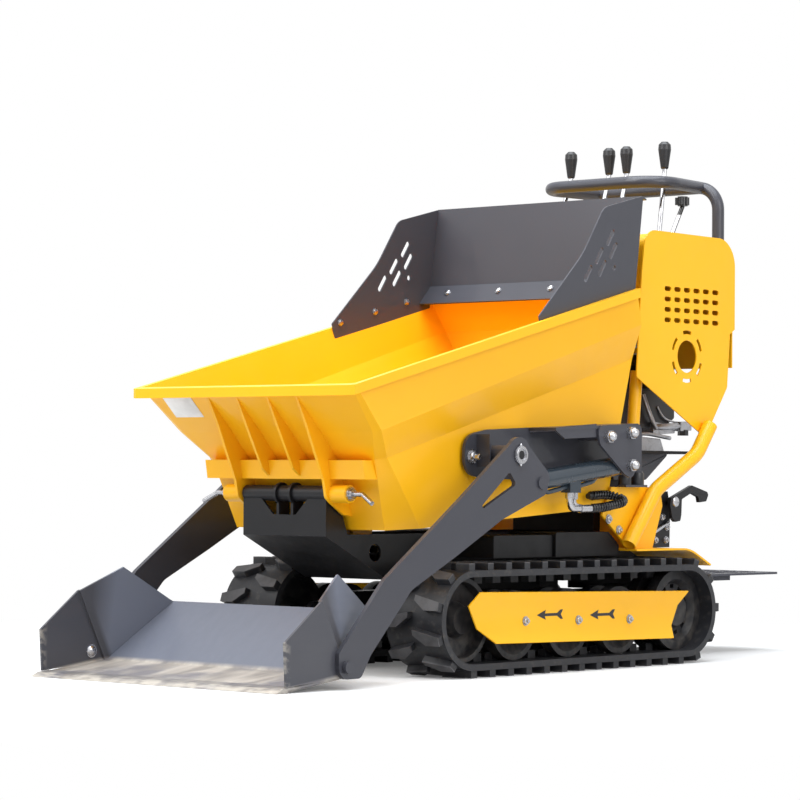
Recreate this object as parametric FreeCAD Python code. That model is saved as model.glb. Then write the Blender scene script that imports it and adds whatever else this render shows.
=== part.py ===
import FreeCAD, Part

import math
import os

# Crawler carrier: a small tracked dumper whose skip tips forward over the front hinge, with a
# self-loading shovel on two outside arms and a console that the driver stands behind.
# Sizes in millimetres. X points to the machine's left side, Y to its rear, Z up from the floor.

V = FreeCAD.Vector
X_AXIS = V(1, 0, 0)
Y_AXIS = V(0, 1, 0)
Z_AXIS = V(0, 0, 1)

os.makedirs("parts", exist_ok=True)

# Clearances
RUN_FIT = 0.05
SIDE_GAP = 1.0
MOVE_GAP = 6.0

# Rubber tracks
TRACK_GAUGE = 560.0
TRACK_WIDTH = 180.0
BELT = 16.0
LUG_HEIGHT = 18.0
LUG_SEAT = 2.0
LUG_INSET = 3.0
WHEEL_R = 107.0
WHEELBASE = 898.0
IDLER_Y = -425.0
SPROCKET_Y = IDLER_Y + WHEELBASE
LINKS = 35
GUIDE_WIDTH = 24.0
GUIDE_HEIGHT = 20.0
GUIDE_LENGTH = 30.0
GUIDE_GROOVE = 34.0
RIM_WIDTH = 96.0
ROLLER_YS = tuple(IDLER_Y + WHEELBASE * share for share in (0.2305, 0.4733, 0.716))
AXLE_R = 17.0

# Undercarriage
BEAM_IN = 118.0
BEAM_OUT = 168.0
BEAM_LOW = 88.0
BEAM_HIGH = 196.0
BEAM_FRONT = IDLER_Y + 95.0
BEAM_REAR = SPROCKET_Y - 101.0
CROSS_YS = (IDLER_Y + 220.0, SPROCKET_Y - 323.0)
CROSS_DEEP = 76.0
CROSS_LOW = 120.0
DRIVE_R = 66.0

# Track guards and fenders
GUARD_X = 371.0
GUARD_SHEET = 4.0
FENDER_SHEET = 5.0
FENDER_Z = 302.0
FENDER_REAR = SPROCKET_Y + 123.0
FENDER_FRONT = 262.0

# Chassis box and tower
TOWER_HALF = 139.5
TOWER_SHEET = 6.0
TOWER_FRONT = -715.0
TOWER_FOLD_Z = 346.0
TOWER_SHOULDER_Z = 441.0
BOX_LOW = 236.0
BOX_TOP = 350.0
BOX_REAR = SPROCKET_Y + 87.0
NOTCH_HALF = 78.0
NOTCH_FLOOR = 38.0
NOTCH_Z = 398.0
SIDE_HOLE_R = 22.0
SIDE_HOLE_Y = -534.0
SIDE_HOLE_Z = 304.0

# Skip hinge
HINGE_Y = -700.0
HINGE_Z = 450.0
HINGE_TUBE_R = 20.0
HINGE_PIN_R = 12.0
HINGE_LUG_R = 27.0
HINGE_LUG_T = 8.0
HINGE_LUG_X = 24.0

# Skip
SHEET = 4.0
RIM_HALF = 362.0
RIM_FRONT = -864.0
RIM_REAR = 244.0
RIM_FRONT_Z = 711.0
RIM_SLOPE = 0.2534
CREASE1_HALF = 340.0
CREASE1_FRONT = -750.0
CREASE1_REAR = 294.0
CREASE1_Z = 600.0
CREASE1_SLOPE = 0.2865
CREASE2_HALF = 300.0
CREASE2_FRONT = -690.0
CREASE2_REAR = 306.0
CREASE2_Z = 534.0
CREASE2_SLOPE = 0.277
FLOOR_FRONT = -624.0
FLOOR_CORNER = -548.0
FLOOR_REAR = 195.0
FLOOR_HALF_FRONT = 250.0
FLOOR_Z = 362.0
FLOOR_SLOPE = 0.066
FLANGE = 12.0
FLANGE_DROP = 24.0
RIB_T = 8.0
RIB_LONG_X = 149.0
RIB_SHORT_X = 52.0
CHANNEL_LOW = 486.0
CHANNEL_HIGH = 524.0
CHANNEL_DEEP = 34.0
BOSS_R = 22.0
BOSS_END = 205.0

# Hopper extension
EXT_SHEET = 4.0
EXT_SIDE_OUT = 356.0
EXT_TOP_Z = 1238.0
EXT_TOP_Y = 273.0
EXT_FRONT_Y = -160.0
EXT_SLOTS = (
    # y, z, length, width, tilt in degrees
    (135.0, 1119.0, 52.0, 14.0, 55.0),
    (148.0, 1086.0, 52.0, 14.0, 55.0),
    (88.0, 1069.0, 52.0, 14.0, 55.0),
    (101.0, 1037.0, 52.0, 14.0, 55.0),
    (41.0, 1020.0, 52.0, 14.0, 55.0),
)
EXT_HOLE = (151.0, 1041.0, 7.0)

# Loader
PIVOT_Y = -319.0
PIVOT_Z = 549.0
PIVOT_PIN_R = 16.0
PIVOT_TUBE_R = 24.0
ARM_IN = 412.0
ARM_T = 12.0
ARM_BOSS_R = 44.0
ROD_PIN_Y = -233.0
ROD_PIN_Z = 480.0
ROD_PIN_R = 11.0
BASE_PIN_Y = 157.0
BASE_PIN_Z = 527.0
BASE_PIN_R = 13.0
CYL_X = 372.0
BARREL_R = 25.0
ROD_R = 12.5
EYE_R = 24.0
EYE_T = 28.0
BRACKET_IN = 308.0
BRACKET_T = 8.0
TRI_IN = 400.0
TRI_T = 8.0
SHOVEL_HALF = 412.0
SHOVEL_SHEET = 6.0
WELD_R = 4.0
BLADE_Y = -1173.0
HEEL_Y = -935.0
HEEL_Z = 26.0
BACK_HALF = 332.0
BACK_Y = -772.0
BACK_Z = 176.0
SIDE_TOP_Y = -1022.0
SIDE_TOP_Z = 206.0
SIDE_TOE_Y = -1146.0
SIDE_TOE_Z = 114.0
REAR_PEAK_Y = -914.0
REAR_PEAK_Z = 264.0
SHOVEL_BOLT_Y = -952.0
SHOVEL_BOLT_Z = 52.0

# Tip cylinder under the skip
TIP_BASE_Y = 100.0
TIP_BASE_Z = 270.0
TIP_EYE_Y = -460.0
TIP_EYE_Z = 300.0
TIP_BARREL_R = 24.0
TIP_ROD_R = 12.5
TIP_EYE_R = 21.0
TIP_EYE_T = 30.0
TIP_PIN_R = 10.0

# Rear superstructure
DECK_Z = 560.0
DECK_T = 8.0
DECK_FRONT = 345.0
DECK_REAR = 640.0
CONSOLE_HALF = 310.0
PIPE_R = 20.0
PIPE_X = CONSOLE_HALF + PIPE_R
GUSSET_X = PIPE_X - 26.0
GUSSET_T = 6.0
DECK_HALF = PIPE_X - 68.0
STRUT_X = CONSOLE_HALF - 48.0
STRUT_R = 17.0
STRUT_Y = 362.0
STRUT_TOP = 780.0
CONSOLE_SHEET = 4.0
CONSOLE_REAR = 765.0
CONSOLE_TOP = 1158.0
CONSOLE_FRONT = 345.0
VENT_ROWS = 4
VENT_COLUMNS = 6
VENT_Y = 452.0
VENT_Z = 1004.0
VENT_PITCH_Y = 44.0
VENT_PITCH_Z = -28.0
VENT_LENGTH = 30.0
VENT_HEIGHT = 13.0
LOOK_Y = 541.0
LOOK_Z = 824.0
LOOK_R = 44.0
LOOK_RING_R = 66.0

# Handle and controls
HANDLE_R = 17.0
HANDLE_Y = 785.0
HANDLE_Z = 1308.0
HANDLE_HALF = 238.0
LOOP_HALF = HANDLE_HALF - 48.0
LOOP_FRONT = 535.0
LEVER_ROD_R = 6.5
LEVER_BAR_Y = 640.0
LEVERS = (
    # x, foot y, top y, knob z
    (-220.0, 640.0, 705.0, 1404.0),
    (-72.0, 640.0, 690.0, 1404.0),
    (-6.0, 640.0, 684.0, 1404.0),
    (128.0, 662.0, 682.0, 1408.0),
)

# Platform for the driver
PLATFORM_HINGE_Y = BOX_REAR + 130.0
PLATFORM_HINGE_Z = 213.0
PLATFORM_REAR = PLATFORM_HINGE_Y + 483.0
PLATFORM_HALF = 190.0
PLATFORM_T = 6.0
PLATFORM_TOP = 226.0


def box(x0, x1, y0, y1, z0, z1):
    return Part.makeBox(x1 - x0, y1 - y0, z1 - z0, V(x0, y0, z0))


def rod(start, end, radius):
    along = end - start
    return Part.makeCylinder(radius, along.Length, start, along)


def cyl_x(x0, x1, y, z, radius):
    return Part.makeCylinder(radius, x1 - x0, V(x0, y, z), X_AXIS)


def ring_x(x0, x1, y, z, outer, inner):
    return cyl_x(x0, x1, y, z, outer).cut(cyl_x(x0 - 1, x1 + 1, y, z, inner))


def mirror(shape):
    return shape.mirror(V(0, 0, 0), X_AXIS)


def both(shape):
    return Part.makeCompound([shape, mirror(shape)])


def fuse(shapes):
    joined = shapes[0].multiFuse(shapes[1:]) if len(shapes) > 1 else shapes[0]
    return joined.removeSplitter()


def rounded_edges(points, closed):
    """Straight edges through the points, with an arc at each point that gives a radius."""
    count = len(points)
    corners = []
    for i, (p, r) in enumerate(points):
        if r <= 0 or (not closed and i in (0, count - 1)):
            corners.append((p, p, None))
            continue
        a = (points[i - 1][0] - p).normalize()
        b = (points[(i + 1) % count][0] - p).normalize()
        half = a.getAngle(b) / 2
        reach = r / math.tan(half)
        middle = (a + b).normalize()
        centre = p + middle * (r / math.sin(half))
        corners.append((p + a * reach, p + b * reach, centre - middle * r))
    edges = []
    for i in range(count):
        start, end, via = corners[i]
        if via is not None:
            edges.append(Part.Arc(start, via, end).toShape())
        if closed or i < count - 1:
            after = corners[(i + 1) % count][0]
            if (after - end).Length > 1e-6:
                edges.append(Part.makeLine(end, after))
    return edges


def outline(points, plane, at):
    """Closed wire; a point is (a, b) or (a, b, radius) in the named plane."""
    placed = []
    for point in points:
        a, b = point[0], point[1]
        r = point[2] if len(point) > 2 else 0
        if plane == "yz":
            placed.append((V(at, a, b), r))
        elif plane == "xz":
            placed.append((V(a, at, b), r))
        else:
            placed.append((V(a, b, at), r))
    return Part.Wire(rounded_edges(placed, True))


def plate(points, plane, low, high):
    """Flat sheet with the outline given, from low to high across its plane."""
    normal = {"yz": X_AXIS, "xz": Y_AXIS, "xy": Z_AXIS}[plane]
    return Part.Face(outline(points, plane, low)).extrude(normal * (high - low))


def slot_yz(y, z, length, width, tilt, low, high):
    """Round-ended slot through a sheet that lies in the yz plane."""
    half = (length - width) / 2
    along = V(0, math.cos(math.radians(tilt)), math.sin(math.radians(tilt)))
    a = V(low, y, z) - along * half
    b = V(low, y, z) + along * half
    across = along.cross(X_AXIS) * (width / 2)
    face = Part.Face(Part.Wire([
        Part.makeLine(a + across, b + across),
        Part.Arc(b + across, b + along * (width / 2), b - across).toShape(),
        Part.makeLine(b - across, a - across),
        Part.Arc(a - across, a - along * (width / 2), a + across).toShape(),
    ]))
    return face.extrude(X_AXIS * (high - low))


def pipe(points, radius, bore=0.0):
    """Bent tube along the points; a point is (x, y, z) or (x, y, z, bend radius)."""
    path = Part.Wire(rounded_edges(
        [(V(p[0], p[1], p[2]), p[3] if len(p) > 3 else 0) for p in points], False))
    start = V(*points[0][:3])
    along = V(*points[1][:3]) - start
    profile = Part.Wire([Part.makeCircle(radius, start, along)])
    tube = path.makePipeShell([profile], True, False)
    if bore > 0:
        inner = Part.Wire([Part.makeCircle(bore, start, along)])
        tube = tube.cut(path.makePipeShell([inner], True, False))
    return tube


def turned_x(profile, y, z):
    """Wheel or hub turned about an axis along x; the profile gives (x, radius) points."""
    points = [V(x, y, z + r) for x, r in profile]
    face = Part.Face(Part.makePolygon(points + [points[0]]))
    return face.revolve(V(0, y, z), X_AXIS, 360)


def hex_nut_x(x0, x1, y, z, across):
    flat = across / math.sqrt(3)
    points = []
    for i in range(6):
        turn = math.radians(60 * i)
        points.append((y + flat * math.cos(turn), z + flat * math.sin(turn)))
    return plate(points, "yz", x0, x1)


def save(shape, name):
    shape.exportStep("parts/" + name + ".step")


# Rubber track: one belt with stepped lugs outside and guide blocks inside
TRACK_MID = TRACK_GAUGE / 2
TRACK_IN = TRACK_MID - TRACK_WIDTH / 2
TRACK_OUT = TRACK_MID + TRACK_WIDTH / 2
BELT_R = WHEEL_R + BELT
LUG_R = BELT_R + LUG_HEIGHT
AXLE_Z = LUG_R


def stadium(radius, low, high):
    front = V(low, IDLER_Y, AXLE_Z)
    rear = V(low, SPROCKET_Y, AXLE_Z)
    up = Z_AXIS * radius
    back = Y_AXIS * radius
    face = Part.Face(Part.Wire([
        Part.makeLine(front + up, rear + up),
        Part.Arc(rear + up, rear + back, rear - up).toShape(),
        Part.makeLine(rear - up, front - up),
        Part.Arc(front - up, front - back, front + up).toShape(),
    ]))
    return face.extrude(X_AXIS * (high - low))


LOOP_R = WHEEL_R + BELT / 2
LOOP = 2 * WHEELBASE + 2 * math.pi * LOOP_R


def belt_frame(travel):
    """Point on the belt's middle line and the angle of its outward normal above the y axis."""
    travel = travel % LOOP
    if travel < WHEELBASE:
        return IDLER_Y + travel, AXLE_Z, 90.0
    travel -= WHEELBASE
    if travel < math.pi * LOOP_R:
        return SPROCKET_Y, AXLE_Z, 90.0 - math.degrees(travel / LOOP_R)
    travel -= math.pi * LOOP_R
    if travel < WHEELBASE:
        return SPROCKET_Y - travel, AXLE_Z, -90.0
    travel -= WHEELBASE
    return IDLER_Y, AXLE_Z, -90.0 - math.degrees(travel / LOOP_R)


LUG_PLAN = (
    # across the belt from its middle, along the belt
    (TRACK_WIDTH / 2 - LUG_INSET, -17.0),
    (44.0, -17.0),
    (8.0, 8.0),
    (8.0, 22.0),
    (TRACK_WIDTH / 2 - LUG_INSET, 5.0),
)


def placed_block(block, travel):
    """Turns a block built about the wheel's axis, outward along z, to its place on the loop."""
    y, z, normal = belt_frame(travel)
    block = block.copy()
    block.rotate(V(0, 0, 0), X_AXIS, normal - 90.0)
    block.translate(V(TRACK_MID, y, z))
    return block


def track():
    pitch = LOOP / LINKS
    belt = stadium(BELT_R, TRACK_IN, TRACK_OUT).cut(stadium(WHEEL_R, TRACK_IN - 1, TRACK_OUT + 1))
    outer = plate(LUG_PLAN, "xy", BELT_R - LUG_SEAT, LUG_R)
    inner = outer.mirror(V(0, 0, 0), X_AXIS)
    guide = box(-GUIDE_WIDTH / 2, GUIDE_WIDTH / 2, -GUIDE_LENGTH / 2, GUIDE_LENGTH / 2,
                WHEEL_R - GUIDE_HEIGHT, WHEEL_R + LUG_SEAT)
    lugs = []
    guides = []
    for link in range(LINKS):
        lugs.append(placed_block(outer, link * pitch))
        lugs.append(placed_block(inner, (link + 0.5) * pitch))
        guides.append(placed_block(guide, (link + 0.5) * pitch))
    above_floor = box(TRACK_IN - 1, TRACK_OUT + 1, IDLER_Y - 2 * LUG_R, SPROCKET_Y + 2 * LUG_R, 0.0, 3 * LUG_R)
    trimmed = Part.makeCompound(lugs).common(above_floor)
    return belt.multiFuse(trimmed.Solids + guides)


left_track = track()
save(left_track, "track_left")
save(mirror(left_track), "track_right")

# Wheels inside the tracks
WHEEL_RUN = WHEEL_R - 0.3
WHEEL_IN = TRACK_MID - RIM_WIDTH / 2
WHEEL_OUT = TRACK_MID + RIM_WIDTH / 2
GROOVE_IN = TRACK_MID - GUIDE_GROOVE / 2
GROOVE_OUT = TRACK_MID + GUIDE_GROOVE / 2
GROOVE_R = WHEEL_RUN - GUIDE_HEIGHT - 4.0


def idler(y, z):
    body = turned_x([
        (BEAM_OUT, 0.0), (BEAM_OUT, AXLE_R), (WHEEL_IN + 4, AXLE_R), (WHEEL_IN + 20, 40.0),
        (WHEEL_IN + 20, WHEEL_RUN - 16), (WHEEL_IN, WHEEL_RUN - 12),
        (WHEEL_IN, WHEEL_RUN), (GROOVE_IN, WHEEL_RUN), (GROOVE_IN, GROOVE_R),
        (GROOVE_OUT, GROOVE_R), (GROOVE_OUT, WHEEL_RUN), (WHEEL_OUT, WHEEL_RUN),
        (WHEEL_OUT, WHEEL_RUN - 12), (WHEEL_OUT - 20, WHEEL_RUN - 16), (WHEEL_OUT - 20, 46.0),
        (WHEEL_OUT + 4, 34.0), (WHEEL_OUT + 4, 0.0)], y, z)
    return body


def sprocket(y, z):
    body = turned_x([
        (BEAM_OUT, 0.0), (BEAM_OUT, 56.0), (WHEEL_IN + 16, 56.0),
        (WHEEL_IN + 16, GROOVE_R - 12), (WHEEL_IN, GROOVE_R),
        (WHEEL_IN, WHEEL_RUN), (GROOVE_IN, WHEEL_RUN), (GROOVE_IN, GROOVE_R),
        (GROOVE_OUT, GROOVE_R), (GROOVE_OUT, WHEEL_RUN), (WHEEL_OUT, WHEEL_RUN),
        (WHEEL_OUT, GROOVE_R), (WHEEL_OUT - 16, GROOVE_R - 12), (WHEEL_OUT - 16, 50.0),
        (WHEEL_OUT + 2, 42.0), (WHEEL_OUT + 2, 0.0)], y, z)
    window = box(WHEEL_IN + 12, WHEEL_OUT - 12, y - 8, y + 8, z + 58, z + GROOVE_R - 14)
    windows = []
    for i in range(11):
        cut = window.copy()
        cut.rotate(V(0, y, z), X_AXIS, i * 360.0 / 11)
        windows.append(cut)
    return body.cut(Part.makeCompound(windows))


ROLLER_R = 88.0
ROLLER_Z = AXLE_Z - WHEEL_R + ROLLER_R + 0.3


def roller(y):
    return turned_x([
        (BEAM_OUT, 0.0), (BEAM_OUT, AXLE_R), (WHEEL_IN, AXLE_R), (WHEEL_IN, ROLLER_R),
        (GROOVE_IN, ROLLER_R), (GROOVE_IN, ROLLER_R - GUIDE_HEIGHT - 4),
        (GROOVE_OUT, ROLLER_R - GUIDE_HEIGHT - 4), (GROOVE_OUT, ROLLER_R),
        (WHEEL_OUT, ROLLER_R), (WHEEL_OUT, ROLLER_R - 14), (WHEEL_OUT - 10, 44.0),
        (WHEEL_OUT, AXLE_R), (GUARD_X, AXLE_R), (GUARD_X, 0.0)], y, ROLLER_Z)


save(both(idler(IDLER_Y, AXLE_Z)), "idler_wheels")
save(both(sprocket(SPROCKET_Y, AXLE_Z)), "drive_sprockets")
rollers = [roller(y) for y in ROLLER_YS]
save(Part.makeCompound(rollers + [mirror(r) for r in rollers]), "track_rollers")

# Undercarriage beams with idler forks and final drives
beam = plate([
    (BEAM_FRONT, BEAM_LOW, 20), (BEAM_REAR, BEAM_LOW, 20),
    (BEAM_REAR, BEAM_HIGH, 20), (BEAM_FRONT, BEAM_HIGH, 20)], "yz", BEAM_IN, BEAM_OUT)
fork = plate([
    (IDLER_Y - 34, AXLE_Z - 30, 28), (BEAM_FRONT + 60, AXLE_Z - 36, 10),
    (BEAM_FRONT + 60, AXLE_Z + 36, 10), (IDLER_Y - 34, AXLE_Z + 30, 28)],
    "yz", BEAM_OUT - 18, BEAM_OUT)
drive_arm = plate([
    (BEAM_REAR - 60, AXLE_Z - 44, 10), (SPROCKET_Y, AXLE_Z - DRIVE_R + 10),
    (SPROCKET_Y, AXLE_Z + DRIVE_R - 10), (BEAM_REAR - 60, AXLE_Z + 50, 10)],
    "yz", BEAM_OUT - 16, BEAM_OUT)
drive = turned_x([
    (96.0, 0.0), (96.0, DRIVE_R - 8), (104.0, DRIVE_R), (BEAM_OUT, DRIVE_R), (BEAM_OUT, 0.0)],
    SPROCKET_Y, AXLE_Z)
motor = cyl_x(40.0, 96.0, SPROCKET_Y, AXLE_Z, 42.0)
side_beam = fuse([beam, fork, drive_arm, drive, motor])
crosses = []
for cross_y in CROSS_YS:
    crosses.append(box(-BEAM_IN, BEAM_IN, cross_y, cross_y + CROSS_DEEP, CROSS_LOW, BOX_LOW))
save(fuse([side_beam, mirror(side_beam)] + crosses), "undercarriage_frame")

# Track guards: sheet with both long edges folded inward, held on the rollers' axles
guard_face = plate([
    (IDLER_Y - 5, 170.0), (IDLER_Y + 27, 203.0, 8), (SPROCKET_Y - 21, 203.0, 4),
    (SPROCKET_Y - 33, 176.0), (SPROCKET_Y - 45, 118.0), (SPROCKET_Y - 61, 106.0),
    (SPROCKET_Y - 61, 80.0), (IDLER_Y + 63, 76.0, 6)], "yz", GUARD_X, GUARD_X + GUARD_SHEET)
guard_top = plate([
    (GUARD_X + GUARD_SHEET, 180.0), (GUARD_X + GUARD_SHEET, 182.0), (GUARD_X - 12, 214.0),
    (GUARD_X - 16, 212.0), (GUARD_X, 180.0)], "xz", IDLER_Y + 27, SPROCKET_Y - 23)
guard_low = plate([
    (GUARD_X + GUARD_SHEET, 100.0), (GUARD_X, 100.0), (GUARD_X - 14, 70.0),
    (GUARD_X - 10, 68.0), (GUARD_X + GUARD_SHEET, 98.0)], "xz", IDLER_Y + 53, SPROCKET_Y - 61)
guard = guard_face.cut(box(GUARD_X - 1, GUARD_X + 9, -500, 500, 181.0, 240.0))
guard = guard.cut(box(GUARD_X - 1, GUARD_X + 9, -500, 500, 60.0, 99.0))
guard = fuse([guard, guard_top, guard_low])
save(both(guard), "track_guards")

# Fenders over the rear of the tracks
fender = plate([
    (FENDER_FRONT, FENDER_Z), (FENDER_REAR - 96, FENDER_Z, 140), (FENDER_REAR, FENDER_Z - 44),
    (FENDER_REAR + 3, FENDER_Z - 40), (FENDER_REAR - 94, FENDER_Z + FENDER_SHEET, 145),
    (FENDER_FRONT, FENDER_Z + FENDER_SHEET)], "yz", TOWER_HALF, 352.0)
save(both(fender), "fenders")

# Chassis box with the hinge tower in front
tower_side = [
    (TOWER_FRONT, TOWER_FOLD_Z), (-486.0, BOX_LOW), (BOX_REAR, BOX_LOW), (BOX_REAR, BOX_TOP),
    (-636.0, BOX_TOP), (-672.0, TOWER_SHOULDER_Z), (TOWER_FRONT, TOWER_SHOULDER_Z)]
tower = plate(tower_side, "yz", -TOWER_HALF, TOWER_HALF)
hollow = plate([
    (TOWER_FRONT + TOWER_SHEET, TOWER_FOLD_Z + 3), (-483.0, BOX_LOW + TOWER_SHEET),
    (BOX_REAR - TOWER_SHEET, BOX_LOW + TOWER_SHEET), (BOX_REAR - TOWER_SHEET, BOX_TOP + 9),
    (-640.0, BOX_TOP + 9), (-640.0, TOWER_SHOULDER_Z + 9),
    (TOWER_FRONT + TOWER_SHEET, TOWER_SHOULDER_Z + 9)],
    "yz", -TOWER_HALF + TOWER_SHEET, TOWER_HALF - TOWER_SHEET)
tower = tower.cut(hollow)
notch = plate([
    (-NOTCH_HALF, TOWER_SHOULDER_Z + 5), (-NOTCH_HALF, TOWER_SHOULDER_Z - 4),
    (-NOTCH_FLOOR, NOTCH_Z, 5), (NOTCH_FLOOR, NOTCH_Z, 5), (NOTCH_HALF, TOWER_SHOULDER_Z - 4),
    (NOTCH_HALF, TOWER_SHOULDER_Z + 5)], "xz", TOWER_FRONT - 1, TOWER_FRONT + TOWER_SHEET + 1)
tower = tower.cut(notch)
tower = tower.cut(cyl_x(-TOWER_HALF - 1, TOWER_HALF + 1, SIDE_HOLE_Y, SIDE_HOLE_Z, SIDE_HOLE_R))
hinge_tube = cyl_x(-TOWER_HALF, TOWER_HALF, HINGE_Y, HINGE_Z, HINGE_TUBE_R)
pieces = [tower, hinge_tube]
for lug_x in (-HINGE_LUG_X, HINGE_LUG_X):
    stem = box(lug_x - HINGE_LUG_T / 2, lug_x + HINGE_LUG_T / 2, TOWER_FRONT + 2,
               HINGE_Y + HINGE_LUG_R - 2, 350.0, HINGE_Z)
    eye = cyl_x(lug_x - HINGE_LUG_T / 2, lug_x + HINGE_LUG_T / 2, HINGE_Y, HINGE_Z, HINGE_LUG_R)
    pieces += [stem, eye]
brace = box(-TOWER_HALF + TOWER_SHEET, TOWER_HALF - TOWER_SHEET, TOWER_FRONT + TOWER_SHEET,
            HINGE_Y + HINGE_LUG_R - 2, 352.0, 358.0)
pieces.append(brace)
for ear_x in (-TIP_EYE_T / 2 - SIDE_GAP - 10, TIP_EYE_T / 2 + SIDE_GAP):
    ear = plate([
        (TIP_BASE_Y - 34, BOX_LOW + 2), (TIP_BASE_Y + 34, BOX_LOW + 2),
        (TIP_BASE_Y + 20, TIP_BASE_Z + 20, 18), (TIP_BASE_Y - 20, TIP_BASE_Z + 20, 18)],
        "yz", ear_x, ear_x + 10)
    pieces.append(ear)
pieces.append(cyl_x(-TIP_EYE_T / 2 - SIDE_GAP - 12, TIP_EYE_T / 2 + SIDE_GAP + 12,
                    TIP_BASE_Y, TIP_BASE_Z, TIP_PIN_R))
chassis = fuse(pieces)
bore = cyl_x(-TOWER_HALF - 5, TOWER_HALF + 5, HINGE_Y, HINGE_Z, HINGE_PIN_R + RUN_FIT)
chassis = chassis.cut(bore)
save(chassis, "chassis_box")

# Boxes on both sides of the chassis, above the tracks
battery = plate([
    (-250.0, 290.0), (-12.0, 290.0), (-12.0, 346.0, 6), (-250.0, 346.0, 6)],
    "yz", TOWER_HALF, 286.0)
oil_tank = plate([
    (-8.0, 290.0), (FENDER_FRONT - 2, 290.0), (FENDER_FRONT - 2, 318.0), (216.0, 352.0, 6),
    (-8.0, 352.0, 6)], "yz", TOWER_HALF, 294.0)
save(both(battery), "side_boxes_front")
save(both(oil_tank), "side_boxes_rear")

# Rear column, engine deck, gussets, pipes and struts
column = plate([
    (352.0, BOX_TOP), (BOX_REAR, BOX_TOP), (BOX_REAR, DECK_Z), (352.0, DECK_Z)],
    "yz", -TOWER_HALF, TOWER_HALF)
deck = box(-DECK_HALF, DECK_HALF, DECK_FRONT, DECK_REAR, DECK_Z, DECK_Z + DECK_T)
save(fuse([column, deck]), "rear_column")

gusset = plate([
    (167.0, 396.0), (283.0, FENDER_Z + FENDER_SHEET), (388.0, FENDER_Z + FENDER_SHEET),
    (432.0, 420.0), (420.0, 470.0), (206.0, 470.0)], "yz", GUSSET_X, GUSSET_X + GUSSET_T)
gusset_foot = box(TOWER_HALF, GUSSET_X, 380.0, 386.0, FENDER_Z + FENDER_SHEET, 462.0)
gusset_front = box(TOWER_HALF, GUSSET_X, 360.0, 380.0, 452.0, 458.0)
gusset = fuse([gusset, gusset_foot, gusset_front])
save(both(gusset), "rear_gussets")

outer_pipe = pipe([
    (PIPE_X, 256.0, 318.0), (PIPE_X, 374.0, 463.0, 90), (PIPE_X, 560.0, 560.0, 90),
    (PIPE_X, 622.0, 640.0)], PIPE_R, PIPE_R - 3)
save(both(outer_pipe.cut(fender)), "support_pipes")

strut = pipe([(STRUT_X, STRUT_Y, DECK_Z + DECK_T), (STRUT_X, STRUT_Y, DECK_Z + 60, 60),
              (STRUT_X, STRUT_Y + 16, STRUT_TOP)], STRUT_R, STRUT_R - 3)
strut_tie = box(STRUT_X, CONSOLE_HALF - CONSOLE_SHEET, STRUT_Y + 4, STRUT_Y + 28,
                STRUT_TOP - 28, STRUT_TOP - 4)
strut = fuse([strut, strut_tie])
save(both(strut), "console_struts")

# Console: two side sheets, and a folded sheet over front, top and rear
side_points = [
    (CONSOLE_FRONT - 31, 763.0, 6), (CONSOLE_FRONT - 10, 1040.0, 30), (CONSOLE_FRONT + 6, CONSOLE_TOP, 50),
    (CONSOLE_REAR, CONSOLE_TOP - 4, 78), (CONSOLE_REAR, 906.0), (742.0, 893.0),
    (730.0, 745.0, 20), (628.0, 606.0, 8)]
side = plate(side_points, "yz", CONSOLE_HALF - CONSOLE_SHEET, CONSOLE_HALF)
cuts = []
for row in range(VENT_ROWS):
    for column_at in range(VENT_COLUMNS):
        cuts.append(slot_yz(VENT_Y + column_at * VENT_PITCH_Y, VENT_Z + row * VENT_PITCH_Z,
                            VENT_LENGTH, VENT_HEIGHT, 0.0,
                            CONSOLE_HALF - CONSOLE_SHEET - 1, CONSOLE_HALF + 1))
look_low = CONSOLE_HALF - CONSOLE_SHEET - 1
look_high = CONSOLE_HALF + 1
cuts.append(cyl_x(look_low, look_high, LOOK_Y, LOOK_Z, LOOK_R))
arc_ring = ring_x(look_low, look_high, LOOK_Y, LOOK_Z, LOOK_RING_R + 5, LOOK_RING_R - 5)
for i in range(6):
    wedge = plate([(LOOK_Y, LOOK_Z), (LOOK_Y - 26.0, LOOK_Z + 90.0), (LOOK_Y + 26.0, LOOK_Z + 90.0)],
                  "yz", look_low, look_high)
    wedge.rotate(V(0, LOOK_Y, LOOK_Z), X_AXIS, 60.0 * i)
    cuts.append(arc_ring.common(wedge))
side = side.cut(Part.makeCompound(cuts))
save(both(side), "console_sides")

CONSOLE_IN = CONSOLE_HALF - CONSOLE_SHEET
hood = plate([
    (CONSOLE_FRONT + 14, 900.0), (CONSOLE_FRONT + 14, CONSOLE_TOP - 8, 40),
    (CONSOLE_REAR - 5, CONSOLE_TOP - 12, 70), (CONSOLE_REAR - 5, 800.0),
    (CONSOLE_REAR - 5 - CONSOLE_SHEET, 800.0),
    (CONSOLE_REAR - 5 - CONSOLE_SHEET, CONSOLE_TOP - 12 - CONSOLE_SHEET, 66),
    (CONSOLE_FRONT + 14 + CONSOLE_SHEET, CONSOLE_TOP - 8 - CONSOLE_SHEET, 36),
    (CONSOLE_FRONT + 14 + CONSOLE_SHEET, 900.0)], "yz", -CONSOLE_IN, CONSOLE_IN)
hood_cuts = []
for lever_x, foot_y, top_y, knob_z in LEVERS:
    hood_cuts.append(box(lever_x - 9, lever_x + 9, foot_y - 34, foot_y + 34,
                         CONSOLE_TOP - 40, CONSOLE_TOP + 5))
hood = hood.cut(Part.makeCompound(hood_cuts))
save(hood, "console_hood")

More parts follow.
